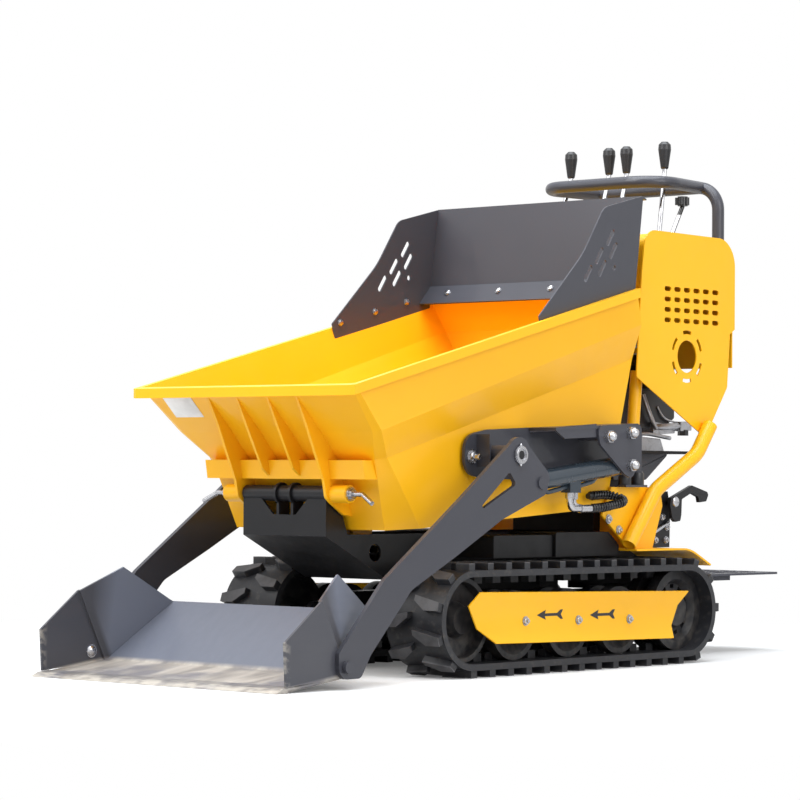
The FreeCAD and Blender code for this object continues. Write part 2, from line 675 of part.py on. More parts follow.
# Engine under the console
ENGINE_Z = DECK_Z + DECK_T
crankcase = box(-120.0, 110.0, 420.0, 620.0, ENGINE_Z, ENGINE_Z + 150.0)
crankcase = crankcase.makeFillet(14.0, [e for e in crankcase.Edges if abs(
    e.Vertexes[0].Z - e.Vertexes[1].Z) > 100])
foot = box(-140.0, 130.0, 400.0, 636.0, ENGINE_Z, ENGINE_Z + 14.0)
shaft_boss = cyl_x(110.0, 150.0, 520.0, ENGINE_Z + 80.0, 34.0)
save(fuse([crankcase, foot, shaft_boss]), "engine_crankcase")
fins = [box(-60.0, 60.0, 470.0, 570.0, ENGINE_Z + 150.0, ENGINE_Z + 158.0)]
fins.append(box(-42.0, 42.0, 484.0, 556.0, ENGINE_Z + 150.0, ENGINE_Z + 262.0))
for i in range(8):
    low = ENGINE_Z + 164.0 + i * 12.0
    fins.append(box(-66.0, 66.0, 462.0, 578.0, low, low + 5.0))
fins.append(box(-50.0, 50.0, 476.0, 564.0, ENGINE_Z + 255.0, ENGINE_Z + 274.0))
save(fuse(fins), "engine_cylinder")
starter = turned_x([(-172.0, 0.0), (-172.0, 52.0), (-150.0, 74.0), (-120.0, 78.0), (-120.0, 0.0)],
                   520.0, ENGINE_Z + 94.0)
save(starter, "starter_cover")
silencer = box(66.0, 226.0, 468.0, 572.0, ENGINE_Z + 168.0, ENGINE_Z + 262.0)
silencer = silencer.makeFillet(26.0, [e for e in silencer.Edges if abs(
    e.Vertexes[0].X - e.Vertexes[1].X) > 100])
outlet = cyl_x(226.0, 262.0, 520.0, ENGINE_Z + 196.0, 13.0)
save(fuse([silencer, outlet]), "silencer")
cleaner = box(-236.0, -66.0, 468.0, 572.0, ENGINE_Z + 200.0, ENGINE_Z + 262.0)
cleaner = cleaner.makeFillet(20.0, [e for e in cleaner.Edges if abs(
    e.Vertexes[0].Z - e.Vertexes[1].Z) > 40])
save(cleaner, "air_cleaner")

# Handle hoop with the front loop
hoop = pipe([
    (HANDLE_HALF, HANDLE_Y, 880.0), (HANDLE_HALF, HANDLE_Y, HANDLE_Z, 66),
    (-HANDLE_HALF, HANDLE_Y, HANDLE_Z, 66), (-HANDLE_HALF, HANDLE_Y, 880.0)], HANDLE_R)
loop = pipe([
    (LOOP_HALF - 10, HANDLE_Y, HANDLE_Z), (LOOP_HALF + 24, LOOP_FRONT, HANDLE_Z, 86),
    (-LOOP_HALF - 24, LOOP_FRONT, HANDLE_Z, 86), (-LOOP_HALF + 10, HANDLE_Y, HANDLE_Z)], HANDLE_R)
feet = []
for foot_z in (900.0, 1060.0):
    feet.append(box(HANDLE_HALF - 14, HANDLE_HALF + 14, CONSOLE_REAR - 5, HANDLE_Y, foot_z, foot_z + 30))
handle_feet = feet + [mirror(f) for f in feet]
save(fuse([hoop, loop] + handle_feet), "grab_handle")

# Control levers with pear grips
rods = []
grips = []
for lever_x, foot_y, top_y, knob_z in LEVERS:
    rods.append(pipe([
        (lever_x, LEVER_BAR_Y, CONSOLE_TOP - 76.0), (lever_x, foot_y, 1200.0, 30),
        (lever_x, top_y, knob_z - 60.0, 40), (lever_x, top_y, knob_z - 20.0)], LEVER_ROD_R))
    grip = Part.Face(Part.makePolygon([
        V(lever_x + 9, top_y, knob_z - 52), V(lever_x + 11, top_y, knob_z - 48),
        V(lever_x + 18, top_y, knob_z + 2), V(lever_x + 17, top_y, knob_z + 16),
        V(lever_x + 9, top_y, knob_z + 24), V(lever_x, top_y, knob_z + 25),
        V(lever_x, top_y, knob_z - 52), V(lever_x + 9, top_y, knob_z - 52)]))
    grips.append(grip.revolve(V(lever_x, top_y, 0), Z_AXIS, 360))
pivot_bar = cyl_x(-CONSOLE_IN, CONSOLE_IN, LEVER_BAR_Y, CONSOLE_TOP - 76.0, 12.0)
lever_set = fuse(rods + [pivot_bar])
lever_set = lever_set.cut(Part.makeCompound(grips))
save(lever_set, "control_levers")
save(Part.makeCompound(grips), "lever_grips")

knob_at = V(CONSOLE_HALF - 60.0, 600.0, CONSOLE_TOP + 82.0)
throttle_rod = rod(V(CONSOLE_HALF - 74.0, 560.0, CONSOLE_TOP - 12.0), knob_at, 6.0)
star = []
star.append(Part.makeCylinder(14.0, 26.0, knob_at, Z_AXIS))
for i in range(5):
    turn = math.radians(72 * i)
    star.append(Part.makeCylinder(7.0, 20.0, knob_at + V(14 * math.cos(turn), 14 * math.sin(turn), 3), Z_AXIS))
knob = fuse(star)
save(fuse([throttle_rod, knob]).cut(hood), "throttle_lever")

# Brake plate and hooked lever by the left gusset
brake_plate = plate([
    (452.0, 380.0, 8), (560.0, 380.0, 8), (560.0, 500.0, 8), (452.0, 500.0, 8)],
    "yz", 228.0, 236.0)
brake_tie = box(TOWER_HALF, 228.0, 470.0, 540.0, 400.0, 408.0)
hook = pipe([
    (248.0, 566.0, 405.0), (248.0, 578.0, 452.0, 14), (248.0, 640.0, 490.0, 14),
    (248.0, 684.0, 466.0, 10), (248.0, 680.0, 446.0)], 8.0)
hook_boss = cyl_x(236.0, 262.0, 574.0, 450.0, 15.0)
hook_arm = plate([(540.0, 440.0, 8), (590.0, 440.0, 8), (590.0, 462.0, 8), (540.0, 462.0, 8)],
                 "yz", 236.0, 244.0)
save(fuse([brake_plate, brake_tie]), "brake_plate")
save(fuse([hook, hook_boss, hook_arm]), "brake_lever")

# Skip: four section loops, lofted outside and inside


def loop_points(half, front_half, front, corner, rear, z, slope):
    plan = [
        (-front_half, front), (front_half, front), (half, corner),
        (half, rear), (-half, rear), (-half, corner)]
    return [V(x, y, z + slope * (y - front)) for x, y in plan]


def skip_loops(inset, lift):
    rim = loop_points(RIM_HALF - inset, RIM_HALF - 12 - inset, RIM_FRONT + inset,
                      RIM_FRONT + 4 + inset, RIM_REAR - inset, RIM_FRONT_Z + RIM_SLOPE * inset,
                      RIM_SLOPE)
    crease1 = loop_points(CREASE1_HALF - inset, CREASE1_HALF - 20 - inset, CREASE1_FRONT + inset,
                          CREASE1_FRONT + 10 + inset, CREASE1_REAR - inset,
                          CREASE1_Z + CREASE1_SLOPE * inset, CREASE1_SLOPE)
    crease2 = loop_points(CREASE2_HALF - inset, CREASE2_HALF - 26 - inset, CREASE2_FRONT + inset,
                          CREASE2_FRONT + 16 + inset, CREASE2_REAR - inset,
                          CREASE2_Z + CREASE2_SLOPE * inset, CREASE2_SLOPE)
    low = loop_points(CREASE2_HALF - inset, FLOOR_HALF_FRONT - inset / 2, FLOOR_FRONT + inset,
                      FLOOR_CORNER + inset / 2, FLOOR_REAR - inset,
                      FLOOR_Z + lift + FLOOR_SLOPE * inset, FLOOR_SLOPE)
    return [low, crease2, crease1, rim]


def loft(loops):
    wires = [Part.makePolygon(points + [points[0]]) for points in loops]
    return Part.makeLoft(wires, True, True)


skip_outer = loft(skip_loops(0.0, 0.0))
inner_loops = skip_loops(SHEET, SHEET)
inner_loops.append([p + V(0, 0, 40) for p in inner_loops[3]])
skip_inner = loft(inner_loops)


def rim_band(grow, top, drop):
    points = loop_points(RIM_HALF + grow, RIM_HALF - 12 + grow, RIM_FRONT - grow, RIM_FRONT + 4 - grow,
                         RIM_REAR, RIM_FRONT_Z - RIM_SLOPE * grow, RIM_SLOPE)
    face = Part.Face(Part.makePolygon([p + V(0, 0, top) for p in points + [points[0]]]))
    return face.extrude(V(0, 0, -drop))


flange = rim_band(FLANGE, 0.0, FLANGE_DROP).cut(rim_band(FLANGE - SHEET, -SHEET, FLANGE_DROP + 9))
skip_shell = fuse([skip_outer, flange]).cut(skip_inner)
save(skip_shell, "skip_shell")

# Ribs, channel and hinge bosses on the front face


def rib(x, points):
    return plate(points, "yz", x - RIB_T / 2, x + RIB_T / 2).cut(skip_outer)


LONG_RIB = [
    (-846.0, 702.0), (-800.0, 618.0), (-736.0, 480.0), (-728.0, 440.0, 18), (-706.0, 424.0, 18),
    (-664.0, 398.0, 6), (-600.0, 392.0), (-600.0, 500.0), (-700.0, 702.0)]
SHORT_RIB = [
    (-846.0, 702.0), (-800.0, 618.0), (-742.0, 512.0, 10), (-712.0, 490.0, 8), (-640.0, 490.0),
    (-700.0, 702.0)]
channel = plate([
    (-690.0 - CHANNEL_DEEP, CHANNEL_HIGH + 8), (-690.0 - CHANNEL_DEEP + 8, CHANNEL_LOW),
    (-600.0, CHANNEL_LOW), (-600.0, CHANNEL_HIGH + 8)], "yz", -CREASE2_HALF + 34, CREASE2_HALF - 34)
channel = channel.cut(skip_outer)
rib_pieces = [channel]
for rib_side in (-1, 1):
    rib_pieces.append(rib(rib_side * RIB_LONG_X, LONG_RIB))
    rib_pieces.append(rib(rib_side * RIB_SHORT_X, SHORT_RIB))
boss = cyl_x(RIB_LONG_X - RIB_T / 2, BOSS_END, HINGE_Y, HINGE_Z, BOSS_R)
ribs = fuse(rib_pieces + [boss, mirror(boss)])
ribs = ribs.cut(cyl_x(-BOSS_END - 5, BOSS_END + 5, HINGE_Y, HINGE_Z, HINGE_PIN_R))
skip_back_clear = cyl_x(-RIB_LONG_X + RIB_T / 2, RIB_LONG_X - RIB_T / 2, HINGE_Y, HINGE_Z,
                        HINGE_LUG_R + MOVE_GAP)
ribs = ribs.cut(skip_back_clear)
save(ribs, "skip_ribs")

pin = cyl_x(TOWER_HALF - 60.0, BOSS_END + 12.0, HINGE_Y, HINGE_Z, HINGE_PIN_R)
washer = cyl_x(BOSS_END, BOSS_END + 5.0, HINGE_Y, HINGE_Z, 17.0)
grip_bar = pipe([
    (BOSS_END + 8.0, HINGE_Y, HINGE_Z), (BOSS_END + 40.0, HINGE_Y, HINGE_Z, 12),
    (BOSS_END + 80.0, HINGE_Y - 10.0, HINGE_Z - 22.0)], 6.0)
save(both(fuse([pin, washer, grip_bar])), "skip_hinge_pins")

# Lugs under the skip for the tip cylinder
lug_points = [
    (TIP_EYE_Y - 44, FLOOR_Z + 30), (TIP_EYE_Y - 22, TIP_EYE_Z - 22, 20),
    (TIP_EYE_Y + 22, TIP_EYE_Z - 22, 20), (TIP_EYE_Y + 44, FLOOR_Z + 30)]
tip_lugs = []
for lug_x in (-TIP_EYE_T / 2 - MOVE_GAP - 10, TIP_EYE_T / 2 + MOVE_GAP):
    piece = plate(lug_points, "yz", lug_x, lug_x + 10).cut(skip_outer)
    tip_lugs.append(piece.cut(cyl_x(lug_x - 1, lug_x + 11, TIP_EYE_Y, TIP_EYE_Z, TIP_PIN_R + 1)))
save(Part.makeCompound(tip_lugs), "skip_tip_lugs")

# Hopper extension on the rear of the skip


def rim_z(y):
    return RIM_FRONT_Z + RIM_SLOPE * (y - RIM_FRONT)


ext_back = plate([
    (RIM_REAR - 6, rim_z(RIM_REAR) - 7), (EXT_TOP_Y, EXT_TOP_Z), (EXT_TOP_Y + 24, EXT_TOP_Z - 6),
    (EXT_TOP_Y + 23, EXT_TOP_Z - 10), (EXT_TOP_Y + 4, EXT_TOP_Z - 5),
    (RIM_REAR - 2, rim_z(RIM_REAR) - 7)], "yz", -EXT_SIDE_OUT + EXT_SHEET, EXT_SIDE_OUT - EXT_SHEET)
strip_low = RIM_REAR - 48
ext_strip = plate([
    (RIM_REAR - 3, rim_z(RIM_REAR) + 24), (RIM_REAR - 3, rim_z(RIM_REAR) + 30),
    (strip_low, rim_z(strip_low) - 8), (strip_low + 4, rim_z(strip_low) - 11)],
    "yz", -EXT_SIDE_OUT + EXT_SHEET, EXT_SIDE_OUT - EXT_SHEET)
ext_back = fuse([ext_back, ext_strip]).cut(skip_shell)
save(ext_back, "extension_back")
ext_side = plate([
    (RIM_REAR - SHEET, rim_z(RIM_REAR) - 32), (EXT_TOP_Y + 4, EXT_TOP_Z, 3),
    (EXT_TOP_Y - 165, EXT_TOP_Z - 42, 44), (EXT_TOP_Y - 253, EXT_TOP_Z - 168, 260),
    (EXT_FRONT_Y, rim_z(EXT_FRONT_Y) + 12, 4), (EXT_FRONT_Y + 10, rim_z(EXT_FRONT_Y) - 28, 4)],
    "yz", EXT_SIDE_OUT - EXT_SHEET, EXT_SIDE_OUT)
ext_cuts = [skip_shell]
for slot_y, slot_z, length, width, tilt in EXT_SLOTS:
    ext_cuts.append(slot_yz(slot_y, slot_z, length, width, tilt, EXT_SIDE_OUT - 9, EXT_SIDE_OUT + 5))
hole_y, hole_z, hole_r = EXT_HOLE
ext_cuts.append(cyl_x(EXT_SIDE_OUT - 9, EXT_SIDE_OUT + 5, hole_y, hole_z, hole_r))
ext_cuts.append(ext_back)
for cutter in ext_cuts:
    ext_side = ext_side.cut(cutter)
ext_side = max(ext_side.Solids, key=lambda solid: solid.Volume)
save(both(ext_side), "extension_sides")

# Loader brackets
inner_plate = plate([
    (-402.0, 500.0, 44), (-402.0, 596.0, 44), (-318.0, 612.0), (196.0, 636.0, 10),
    (330.0, 610.0, 10), (330.0, 505.0, 10), (120.0, 492.0), (-300.0, 488.0)],
    "yz", BRACKET_IN, BRACKET_IN + BRACKET_T)
top_flange = plate([
    (-150.0, 612.0), (196.0, 628.0), (196.0, 636.0), (-150.0, 620.0)],
    "yz", BRACKET_IN, TRI_IN + 4)
outer_lip = plate([
    (-110.0, 592.0), (20.0, 598.0), (20.0, 632.0), (-150.0, 620.0), (-150.0, 614.0)],
    "yz", TRI_IN - 4, TRI_IN + 2)
tri = plate([
    (18.0, 628.0, 20), (206.0, 636.0, 20), (206.0, 560.0, 20), (166.0, 490.0, 20),
    (132.0, 505.0, 20), (28.0, 580.0, 20)], "yz", TRI_IN, TRI_IN + TRI_T)
pivot_tube = cyl_x(BRACKET_IN, ARM_IN - SIDE_GAP, PIVOT_Y, PIVOT_Z, PIVOT_TUBE_R)
front_gusset = box(BRACKET_IN, BRACKET_IN + 50, -356.0, -350.0, 520.0, 600.0)
base_pin = cyl_x(BRACKET_IN, TRI_IN + TRI_T, BASE_PIN_Y, BASE_PIN_Z, BASE_PIN_R)
spacers = []
for nut_y, nut_z in ((60.0, 600.0), (154.0, 611.0)):
    spacers.append(cyl_x(BRACKET_IN, TRI_IN + 2, nut_y, nut_z, 11.0))
posts = []
for post_y in (250.0, 306.0):
    posts.append(Part.makeCylinder(14.0, 42.0, V(BRACKET_IN + 12, post_y, 470.0), Z_AXIS))
post_foot = box(BRACKET_IN - 2, BRACKET_IN + 30, 232.0, 326.0, 470.0, 476.0)
bracket = fuse([inner_plate, top_flange, outer_lip, tri, pivot_tube, front_gusset, base_pin]
               + spacers + posts + [post_foot])
save(both(bracket), "loader_brackets")
nuts = []
for nut_y, nut_z in ((60.0, 600.0), (154.0, 611.0), (BASE_PIN_Y, BASE_PIN_Z)):
    nuts.append(hex_nut_x(TRI_IN + TRI_T, TRI_IN + TRI_T + 12, nut_y, nut_z, 30.0))
nut_set = nuts + [mirror(n) for n in nuts]
save(Part.makeCompound(nut_set), "bracket_nuts")
pivot_pin = cyl_x(ARM_IN - SIDE_GAP, ARM_IN + ARM_T + 6, PIVOT_Y, PIVOT_Z, PIVOT_PIN_R)
pivot_cap = cyl_x(ARM_IN + ARM_T + 1, ARM_IN + ARM_T + 6, PIVOT_Y, PIVOT_Z, PIVOT_PIN_R + 7)
save(both(fuse([pivot_pin, pivot_cap])), "loader_pivot_pins")

# Loader arms
arm_points = [
    (-976.0, 84.0, 10), (-976.0, 24.0, 30), (-900.0, 24.0, 20), (-866.0, 77.0),
    (-722.0, 225.0, 50), (-558.0, 303.0), (-387.0, 389.0), (-212.0, 452.0, 24),
    (-196.0, 500.0, 26), (-292.0, 580.0), (-345.0, 583.0), (-540.0, 443.0),
    (-819.0, 251.0, 40)]
arm = plate(arm_points, "yz", ARM_IN, ARM_IN + ARM_T)
window = plate([
    (-357.0, 507.0, 8), (-330.0, 476.0, 8), (-494.0, 400.0, 5)],
    "yz", ARM_IN - 1, ARM_IN + ARM_T + 1)
arm = arm.cut(window)
arm = fuse([arm, cyl_x(ARM_IN, ARM_IN + ARM_T, PIVOT_Y, PIVOT_Z, ARM_BOSS_R)])
arm = arm.cut(cyl_x(ARM_IN - 1, ARM_IN + ARM_T + 1, PIVOT_Y, PIVOT_Z, PIVOT_PIN_R + RUN_FIT))
shovel_bolt = cyl_x(ARM_IN + ARM_T, ARM_IN + ARM_T + 12, SHOVEL_BOLT_Y, SHOVEL_BOLT_Z, 14.0)
rod_pin_head = cyl_x(ARM_IN + ARM_T, ARM_IN + ARM_T + 5, ROD_PIN_Y, ROD_PIN_Z, 15.0)
arm = fuse([arm, shovel_bolt, rod_pin_head])
save(arm, "loader_arm_left")
save(mirror(arm), "loader_arm_right")

# Shovel: floor, sloped back and side plates folded inward at the rear
FLOOR_RISE = HEEL_Z / (HEEL_Y - BLADE_Y)
SHOVEL_IN = SHOVEL_HALF - SHOVEL_SHEET


def slab(points, thick):
    """Flat plate through the corner points, with its thickness on the side of the normal."""
    face = Part.Face(Part.makePolygon(points + [points[0]]))
    normal = (points[1] - points[0]).cross(points[2] - points[0]).normalize()
    return face.extrude(normal * thick)


floor_plate = plate([
    (BLADE_Y + 40, 1.0), (HEEL_Y, HEEL_Z), (HEEL_Y, HEEL_Z + SHOVEL_SHEET), (BLADE_Y + 40, 1.0 + SHOVEL_SHEET)],
    "yz", -SHOVEL_IN, SHOVEL_IN)
back_plate = slab([
    V(-SHOVEL_IN, HEEL_Y, HEEL_Z + SHOVEL_SHEET), V(SHOVEL_IN, HEEL_Y, HEEL_Z + SHOVEL_SHEET),
    V(BACK_HALF, BACK_Y, BACK_Z), V(-BACK_HALF, BACK_Y, BACK_Z)], -SHOVEL_SHEET)
heel = cyl_x(-SHOVEL_IN, SHOVEL_IN, HEEL_Y, HEEL_Z + SHOVEL_SHEET / 2, SHOVEL_SHEET / 2)
fold_low = V(SHOVEL_IN, HEEL_Y, HEEL_Z + SHOVEL_SHEET)
fold_high = V(SHOVEL_IN, SIDE_TOP_Y, SIDE_TOP_Z)
back_end = V(BACK_HALF, BACK_Y, BACK_Z)
fold_normal = (fold_high - fold_low).cross(back_end - fold_low)
peak_x = SHOVEL_IN - (fold_normal.y * (REAR_PEAK_Y - fold_low.y)
                      + fold_normal.z * (REAR_PEAK_Z - fold_low.z)) / fold_normal.x
rear_side = slab([fold_low, fold_high, V(peak_x, REAR_PEAK_Y, REAR_PEAK_Z), back_end], SHOVEL_SHEET)
front_side = plate([
    (BLADE_Y + 33, 13.0), (HEEL_Y, HEEL_Z + 4), (SIDE_TOP_Y, SIDE_TOP_Z), (SIDE_TOE_Y, SIDE_TOE_Z)],
    "yz", SHOVEL_IN, SHOVEL_HALF)
outward = V(SHOVEL_SHEET / 3, 0, 0)
side_fold = rod(fold_low + outward, fold_high + outward, WELD_R)
side_weld = rod(fold_low, back_end, WELD_R)
floor_weld = rod(fold_low, V(SHOVEL_IN, BLADE_Y + 40, 1.0 + SHOVEL_SHEET), WELD_R)
shovel_half = [rear_side, front_side, side_fold, side_weld, floor_weld]
shovel = fuse([floor_plate, back_plate, heel] + shovel_half + [mirror(s) for s in shovel_half])
save(shovel, "shovel_bowl")
floor_slope = (HEEL_Z - 1.0) / (HEEL_Y - BLADE_Y - 40)
edge = plate([
    (BLADE_Y, 0.5), (BLADE_Y + 40, 0.5), (BLADE_Y + 40, 1.0 + SHOVEL_SHEET),
    (BLADE_Y + 60, 1.0 + SHOVEL_SHEET + floor_slope * 20), (BLADE_Y + 60, 14.0), (BLADE_Y + 24, 11.0)],
    "yz", -SHOVEL_HALF, SHOVEL_HALF)
for side_piece in (front_side, floor_weld):
    edge = edge.cut(side_piece).cut(mirror(side_piece))
save(edge, "cutting_edge")

# Loader cylinders: barrel on the base pin, rod towards the arm's ear
base = V(CYL_X, BASE_PIN_Y, BASE_PIN_Z)
tip = V(CYL_X, ROD_PIN_Y, ROD_PIN_Z)
way = (tip - base).normalize()
reach = (tip - base).Length
barrel = rod(base + way * 26.0, base + way * (reach - 48.0), BARREL_R)
barrel_end = cyl_x(CYL_X - EYE_T / 2, CYL_X + EYE_T / 2, BASE_PIN_Y, BASE_PIN_Z, EYE_R)
barrel_neck = rod(base, base + way * 30.0, 16.0)
gland = rod(base + way * (reach - 52.0), base + way * (reach - 40.0), BARREL_R - 3)
port_at = base + way * (reach * 0.52)
port = Part.makeBox(30, 44, 34, port_at + V(-15, -22, -BARREL_R - 22))
feed = pipe([
    (CYL_X, port_at.y - 20, port_at.z - BARREL_R - 8), (CYL_X, port_at.y - 100, port_at.z - BARREL_R - 22, 14),
    (CYL_X, port_at.y - 128, port_at.z - BARREL_R + 8)], 6.0)
feed_back = pipe([
    (CYL_X, port_at.y + 20, port_at.z - BARREL_R - 8), (CYL_X, port_at.y + 88, port_at.z - BARREL_R + 6, 14),
    (CYL_X, port_at.y + 112, port_at.z - BARREL_R + 24)], 6.0)
cylinder = fuse([barrel, barrel_end, barrel_neck, gland, port, feed, feed_back])
cylinder = cylinder.cut(cyl_x(CYL_X - 40, CYL_X + 40, BASE_PIN_Y, BASE_PIN_Z, BASE_PIN_R + RUN_FIT))
rod_bore = rod(base + way * 60.0, base + way * reach, ROD_R + RUN_FIT)
cylinder = cylinder.cut(rod_bore)
save(cylinder, "loader_cylinder_left")
save(mirror(cylinder), "loader_cylinder_right")
piston = rod(base + way * 62.0, base + way * (reach - 14.0), ROD_R)
rod_eye = cyl_x(CYL_X - EYE_T / 2, CYL_X + EYE_T / 2, ROD_PIN_Y, ROD_PIN_Z, 20.0)
rod_pin = cyl_x(CYL_X - 22, ARM_IN - MOVE_GAP, ROD_PIN_Y, ROD_PIN_Z, ROD_PIN_R)
piston = fuse([piston, rod_eye, rod_pin])
save(piston, "loader_rod_left")
save(mirror(piston), "loader_rod_right")

# Tip cylinder between the chassis box and the skip
tip_base = V(0, TIP_BASE_Y, TIP_BASE_Z)
tip_eye = V(0, TIP_EYE_Y, TIP_EYE_Z)
tip_way = (tip_eye - tip_base).normalize()
tip_reach = (tip_eye - tip_base).Length
tip_barrel = fuse([
    rod(tip_base + tip_way * 46.0, tip_base + tip_way * (tip_reach - 62.0), TIP_BARREL_R),
    rod(tip_base, tip_base + tip_way * 50.0, TIP_EYE_T / 2 - 1),
    cyl_x(-TIP_EYE_T / 2, TIP_EYE_T / 2, TIP_BASE_Y, TIP_BASE_Z, TIP_EYE_R)])
tip_barrel = tip_barrel.cut(cyl_x(-30, 30, TIP_BASE_Y, TIP_BASE_Z, TIP_PIN_R + RUN_FIT))
tip_barrel = tip_barrel.cut(rod(tip_base + tip_way * 60.0, tip_eye, TIP_ROD_R + RUN_FIT))
save(tip_barrel, "tip_cylinder")
tip_rod = fuse([
    rod(tip_base + tip_way * 62.0, tip_eye - tip_way * 16.0, TIP_ROD_R),
    cyl_x(-TIP_EYE_T / 2, TIP_EYE_T / 2, TIP_EYE_Y, TIP_EYE_Z, TIP_EYE_R),
    cyl_x(-TIP_EYE_T / 2 - MOVE_GAP + 1, TIP_EYE_T / 2 + MOVE_GAP - 1, TIP_EYE_Y, TIP_EYE_Z, TIP_PIN_R)])
save(tip_rod, "tip_rod")

# Platform with its hinge brackets
bracket_arms = []
for arm_x in (-110.0, 90.0):
    arm_plate = plate([
        (BOX_REAR, BOX_LOW + 30), (BOX_REAR, 186.0), (PLATFORM_HINGE_Y, 190.0),
        (PLATFORM_HINGE_Y + 20, PLATFORM_HINGE_Z - 8, 8), (PLATFORM_HINGE_Y + 10, PLATFORM_HINGE_Z + 14, 8),
        (PLATFORM_HINGE_Y - 20, PLATFORM_HINGE_Z + 14)], "yz", arm_x, arm_x + 20)
    bracket_arms.append(arm_plate)
rear_cross = box(-110.0, 110.0, BOX_REAR, BOX_REAR + 8, 186.0, BOX_LOW + 60)
step_bar = cyl_x(-150.0, 150.0, PLATFORM_HINGE_Y, PLATFORM_HINGE_Z, 8.0)
save(fuse(bracket_arms + [rear_cross, step_bar]), "platform_bracket")
tread = plate([
    (-PLATFORM_HALF, PLATFORM_HINGE_Y + 24), (PLATFORM_HALF, PLATFORM_HINGE_Y + 24),
    (PLATFORM_HALF, PLATFORM_REAR, 24), (-PLATFORM_HALF, PLATFORM_REAR, 24)],
    "xy", PLATFORM_TOP - PLATFORM_T, PLATFORM_TOP)
knuckles = []
for knuckle_x in (-148.0, 118.0):
    knuckles.append(cyl_x(knuckle_x, knuckle_x + 30.0, PLATFORM_HINGE_Y, PLATFORM_HINGE_Z, 14.0))
    knuckles.append(box(knuckle_x, knuckle_x + 30.0, PLATFORM_HINGE_Y, PLATFORM_HINGE_Y + 290.0,
                        PLATFORM_HINGE_Z - 8, PLATFORM_TOP - PLATFORM_T))
platform = fuse([tread] + knuckles)
platform = platform.cut(cyl_x(-160.0, 160.0, PLATFORM_HINGE_Y, PLATFORM_HINGE_Z, 8.0 + RUN_FIT))
save(platform, "platform")

# Hoses from the loader cylinders back under the skip
hose = pipe([
    (CYL_X, port_at.y - 6, port_at.z - BARREL_R - 22), (CYL_X, port_at.y - 6, 424.0, 22),
    (CYL_X - 2, 150.0, 432.0, 20), (CYL_X - 30, 176.0, 440.0, 20), (340.0, 160.0, 452.0, 12),
    (322.0, 90.0, 446.0)], 8.0)
save(both(hose), "loader_hoses")
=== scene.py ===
import math

import bmesh
import bpy
from mathutils import Matrix, Vector


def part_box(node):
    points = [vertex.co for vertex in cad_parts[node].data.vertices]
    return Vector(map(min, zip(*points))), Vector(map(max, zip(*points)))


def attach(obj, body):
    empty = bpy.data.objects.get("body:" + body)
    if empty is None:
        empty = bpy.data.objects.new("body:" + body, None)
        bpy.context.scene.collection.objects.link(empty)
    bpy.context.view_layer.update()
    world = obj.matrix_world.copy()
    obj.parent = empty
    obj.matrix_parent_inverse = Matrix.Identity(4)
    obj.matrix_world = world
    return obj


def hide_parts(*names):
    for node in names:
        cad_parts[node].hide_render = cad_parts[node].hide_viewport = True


bl_info = {
    "name": "Crawler carrier",
    "version": (1, 0, 0),
    "blender": (4, 5, 0),
    "location": "3D View > Sidebar > Carrier",
    "description": "Paint, rubber, fasteners, hoses and a stage for a small tracked dumper",
    "category": "Object",
}

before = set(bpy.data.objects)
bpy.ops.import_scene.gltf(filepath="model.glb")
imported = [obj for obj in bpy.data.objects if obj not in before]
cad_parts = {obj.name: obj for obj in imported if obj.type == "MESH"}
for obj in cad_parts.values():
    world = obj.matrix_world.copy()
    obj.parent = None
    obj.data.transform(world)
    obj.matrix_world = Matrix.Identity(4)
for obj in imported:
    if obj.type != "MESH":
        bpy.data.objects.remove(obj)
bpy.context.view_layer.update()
MM = 0.001
LEFT = Vector((1, 0, 0))
UP = Vector((0, 0, 1))
SIDES = ((1, "left"), (-1, "right"))

PAINTED = {
    "yellow": (
        "track_guards", "fenders", "rear_gussets", "support_pipes", "console_struts",
        "console_sides", "console_hood", "skip_shell", "skip_ribs", "skip_tip_lugs"),
    "grey": (
        "grab_handle", "loader_brackets", "extension_back", "extension_sides",
        "loader_arm_left", "loader_arm_right"),
    "black": ("undercarriage_frame", "chassis_box", "starter_cover", "silencer", "platform_bracket"),
    # shade: painted shade, the chassis black darkened for the side boxes and the rear column
    "shade": ("side_boxes_front", "side_boxes_rear", "rear_column"),
    "slate": ("loader_cylinder_left", "loader_cylinder_right", "tip_cylinder"),
    "rubber": ("track_left", "track_right"),
    "wheel": ("idler_wheels", "drive_sprockets", "track_rollers"),
    "zinc": ("bracket_nuts", "loader_pivot_pins", "skip_hinge_pins"),
    "chrome": ("loader_rod_left", "loader_rod_right", "tip_rod", "control_levers"),
    "throttle": ("throttle_lever",),
    "grip": ("lever_grips", "air_cleaner"),
    "alloy": ("engine_crankcase", "engine_cylinder"),
    "shovel": ("shovel_bowl", "cutting_edge"),
    "step": ("platform",),
}


# The material behind each finish
MATERIALS = {}


class CarrierPaints(bpy.types.PropertyGroup):
    yellow: bpy.props.FloatVectorProperty(
        name="Yellow", description="Paint of the skip, console and guards",
        default=(0.97, 0.49, 0.007), subtype="COLOR", min=0, max=1)
    grey: bpy.props.FloatVectorProperty(
        name="Grey", description="Paint of the hopper, loader arms and handle",
        default=(0.05, 0.051, 0.063), subtype="COLOR", min=0, max=1)
    black: bpy.props.FloatVectorProperty(
        name="Black", description="Paint of the chassis",
        default=(0.0105, 0.0105, 0.0125), subtype="COLOR", min=0, max=1)
    slate: bpy.props.FloatVectorProperty(
        name="Slate", description="Paint of the cylinders",
        default=(0.03, 0.042, 0.056), subtype="COLOR", min=0, max=1)
    rubber: bpy.props.FloatVectorProperty(
        name="Rubber", description="Rubber of the tracks",
        default=(0.015, 0.0155, 0.019), subtype="COLOR", min=0, max=1)
    dust: bpy.props.FloatVectorProperty(
        name="Dust", description="Dry dust on the tracks and the shovel",
        default=(0.42, 0.37, 0.31), subtype="COLOR", min=0, max=1)


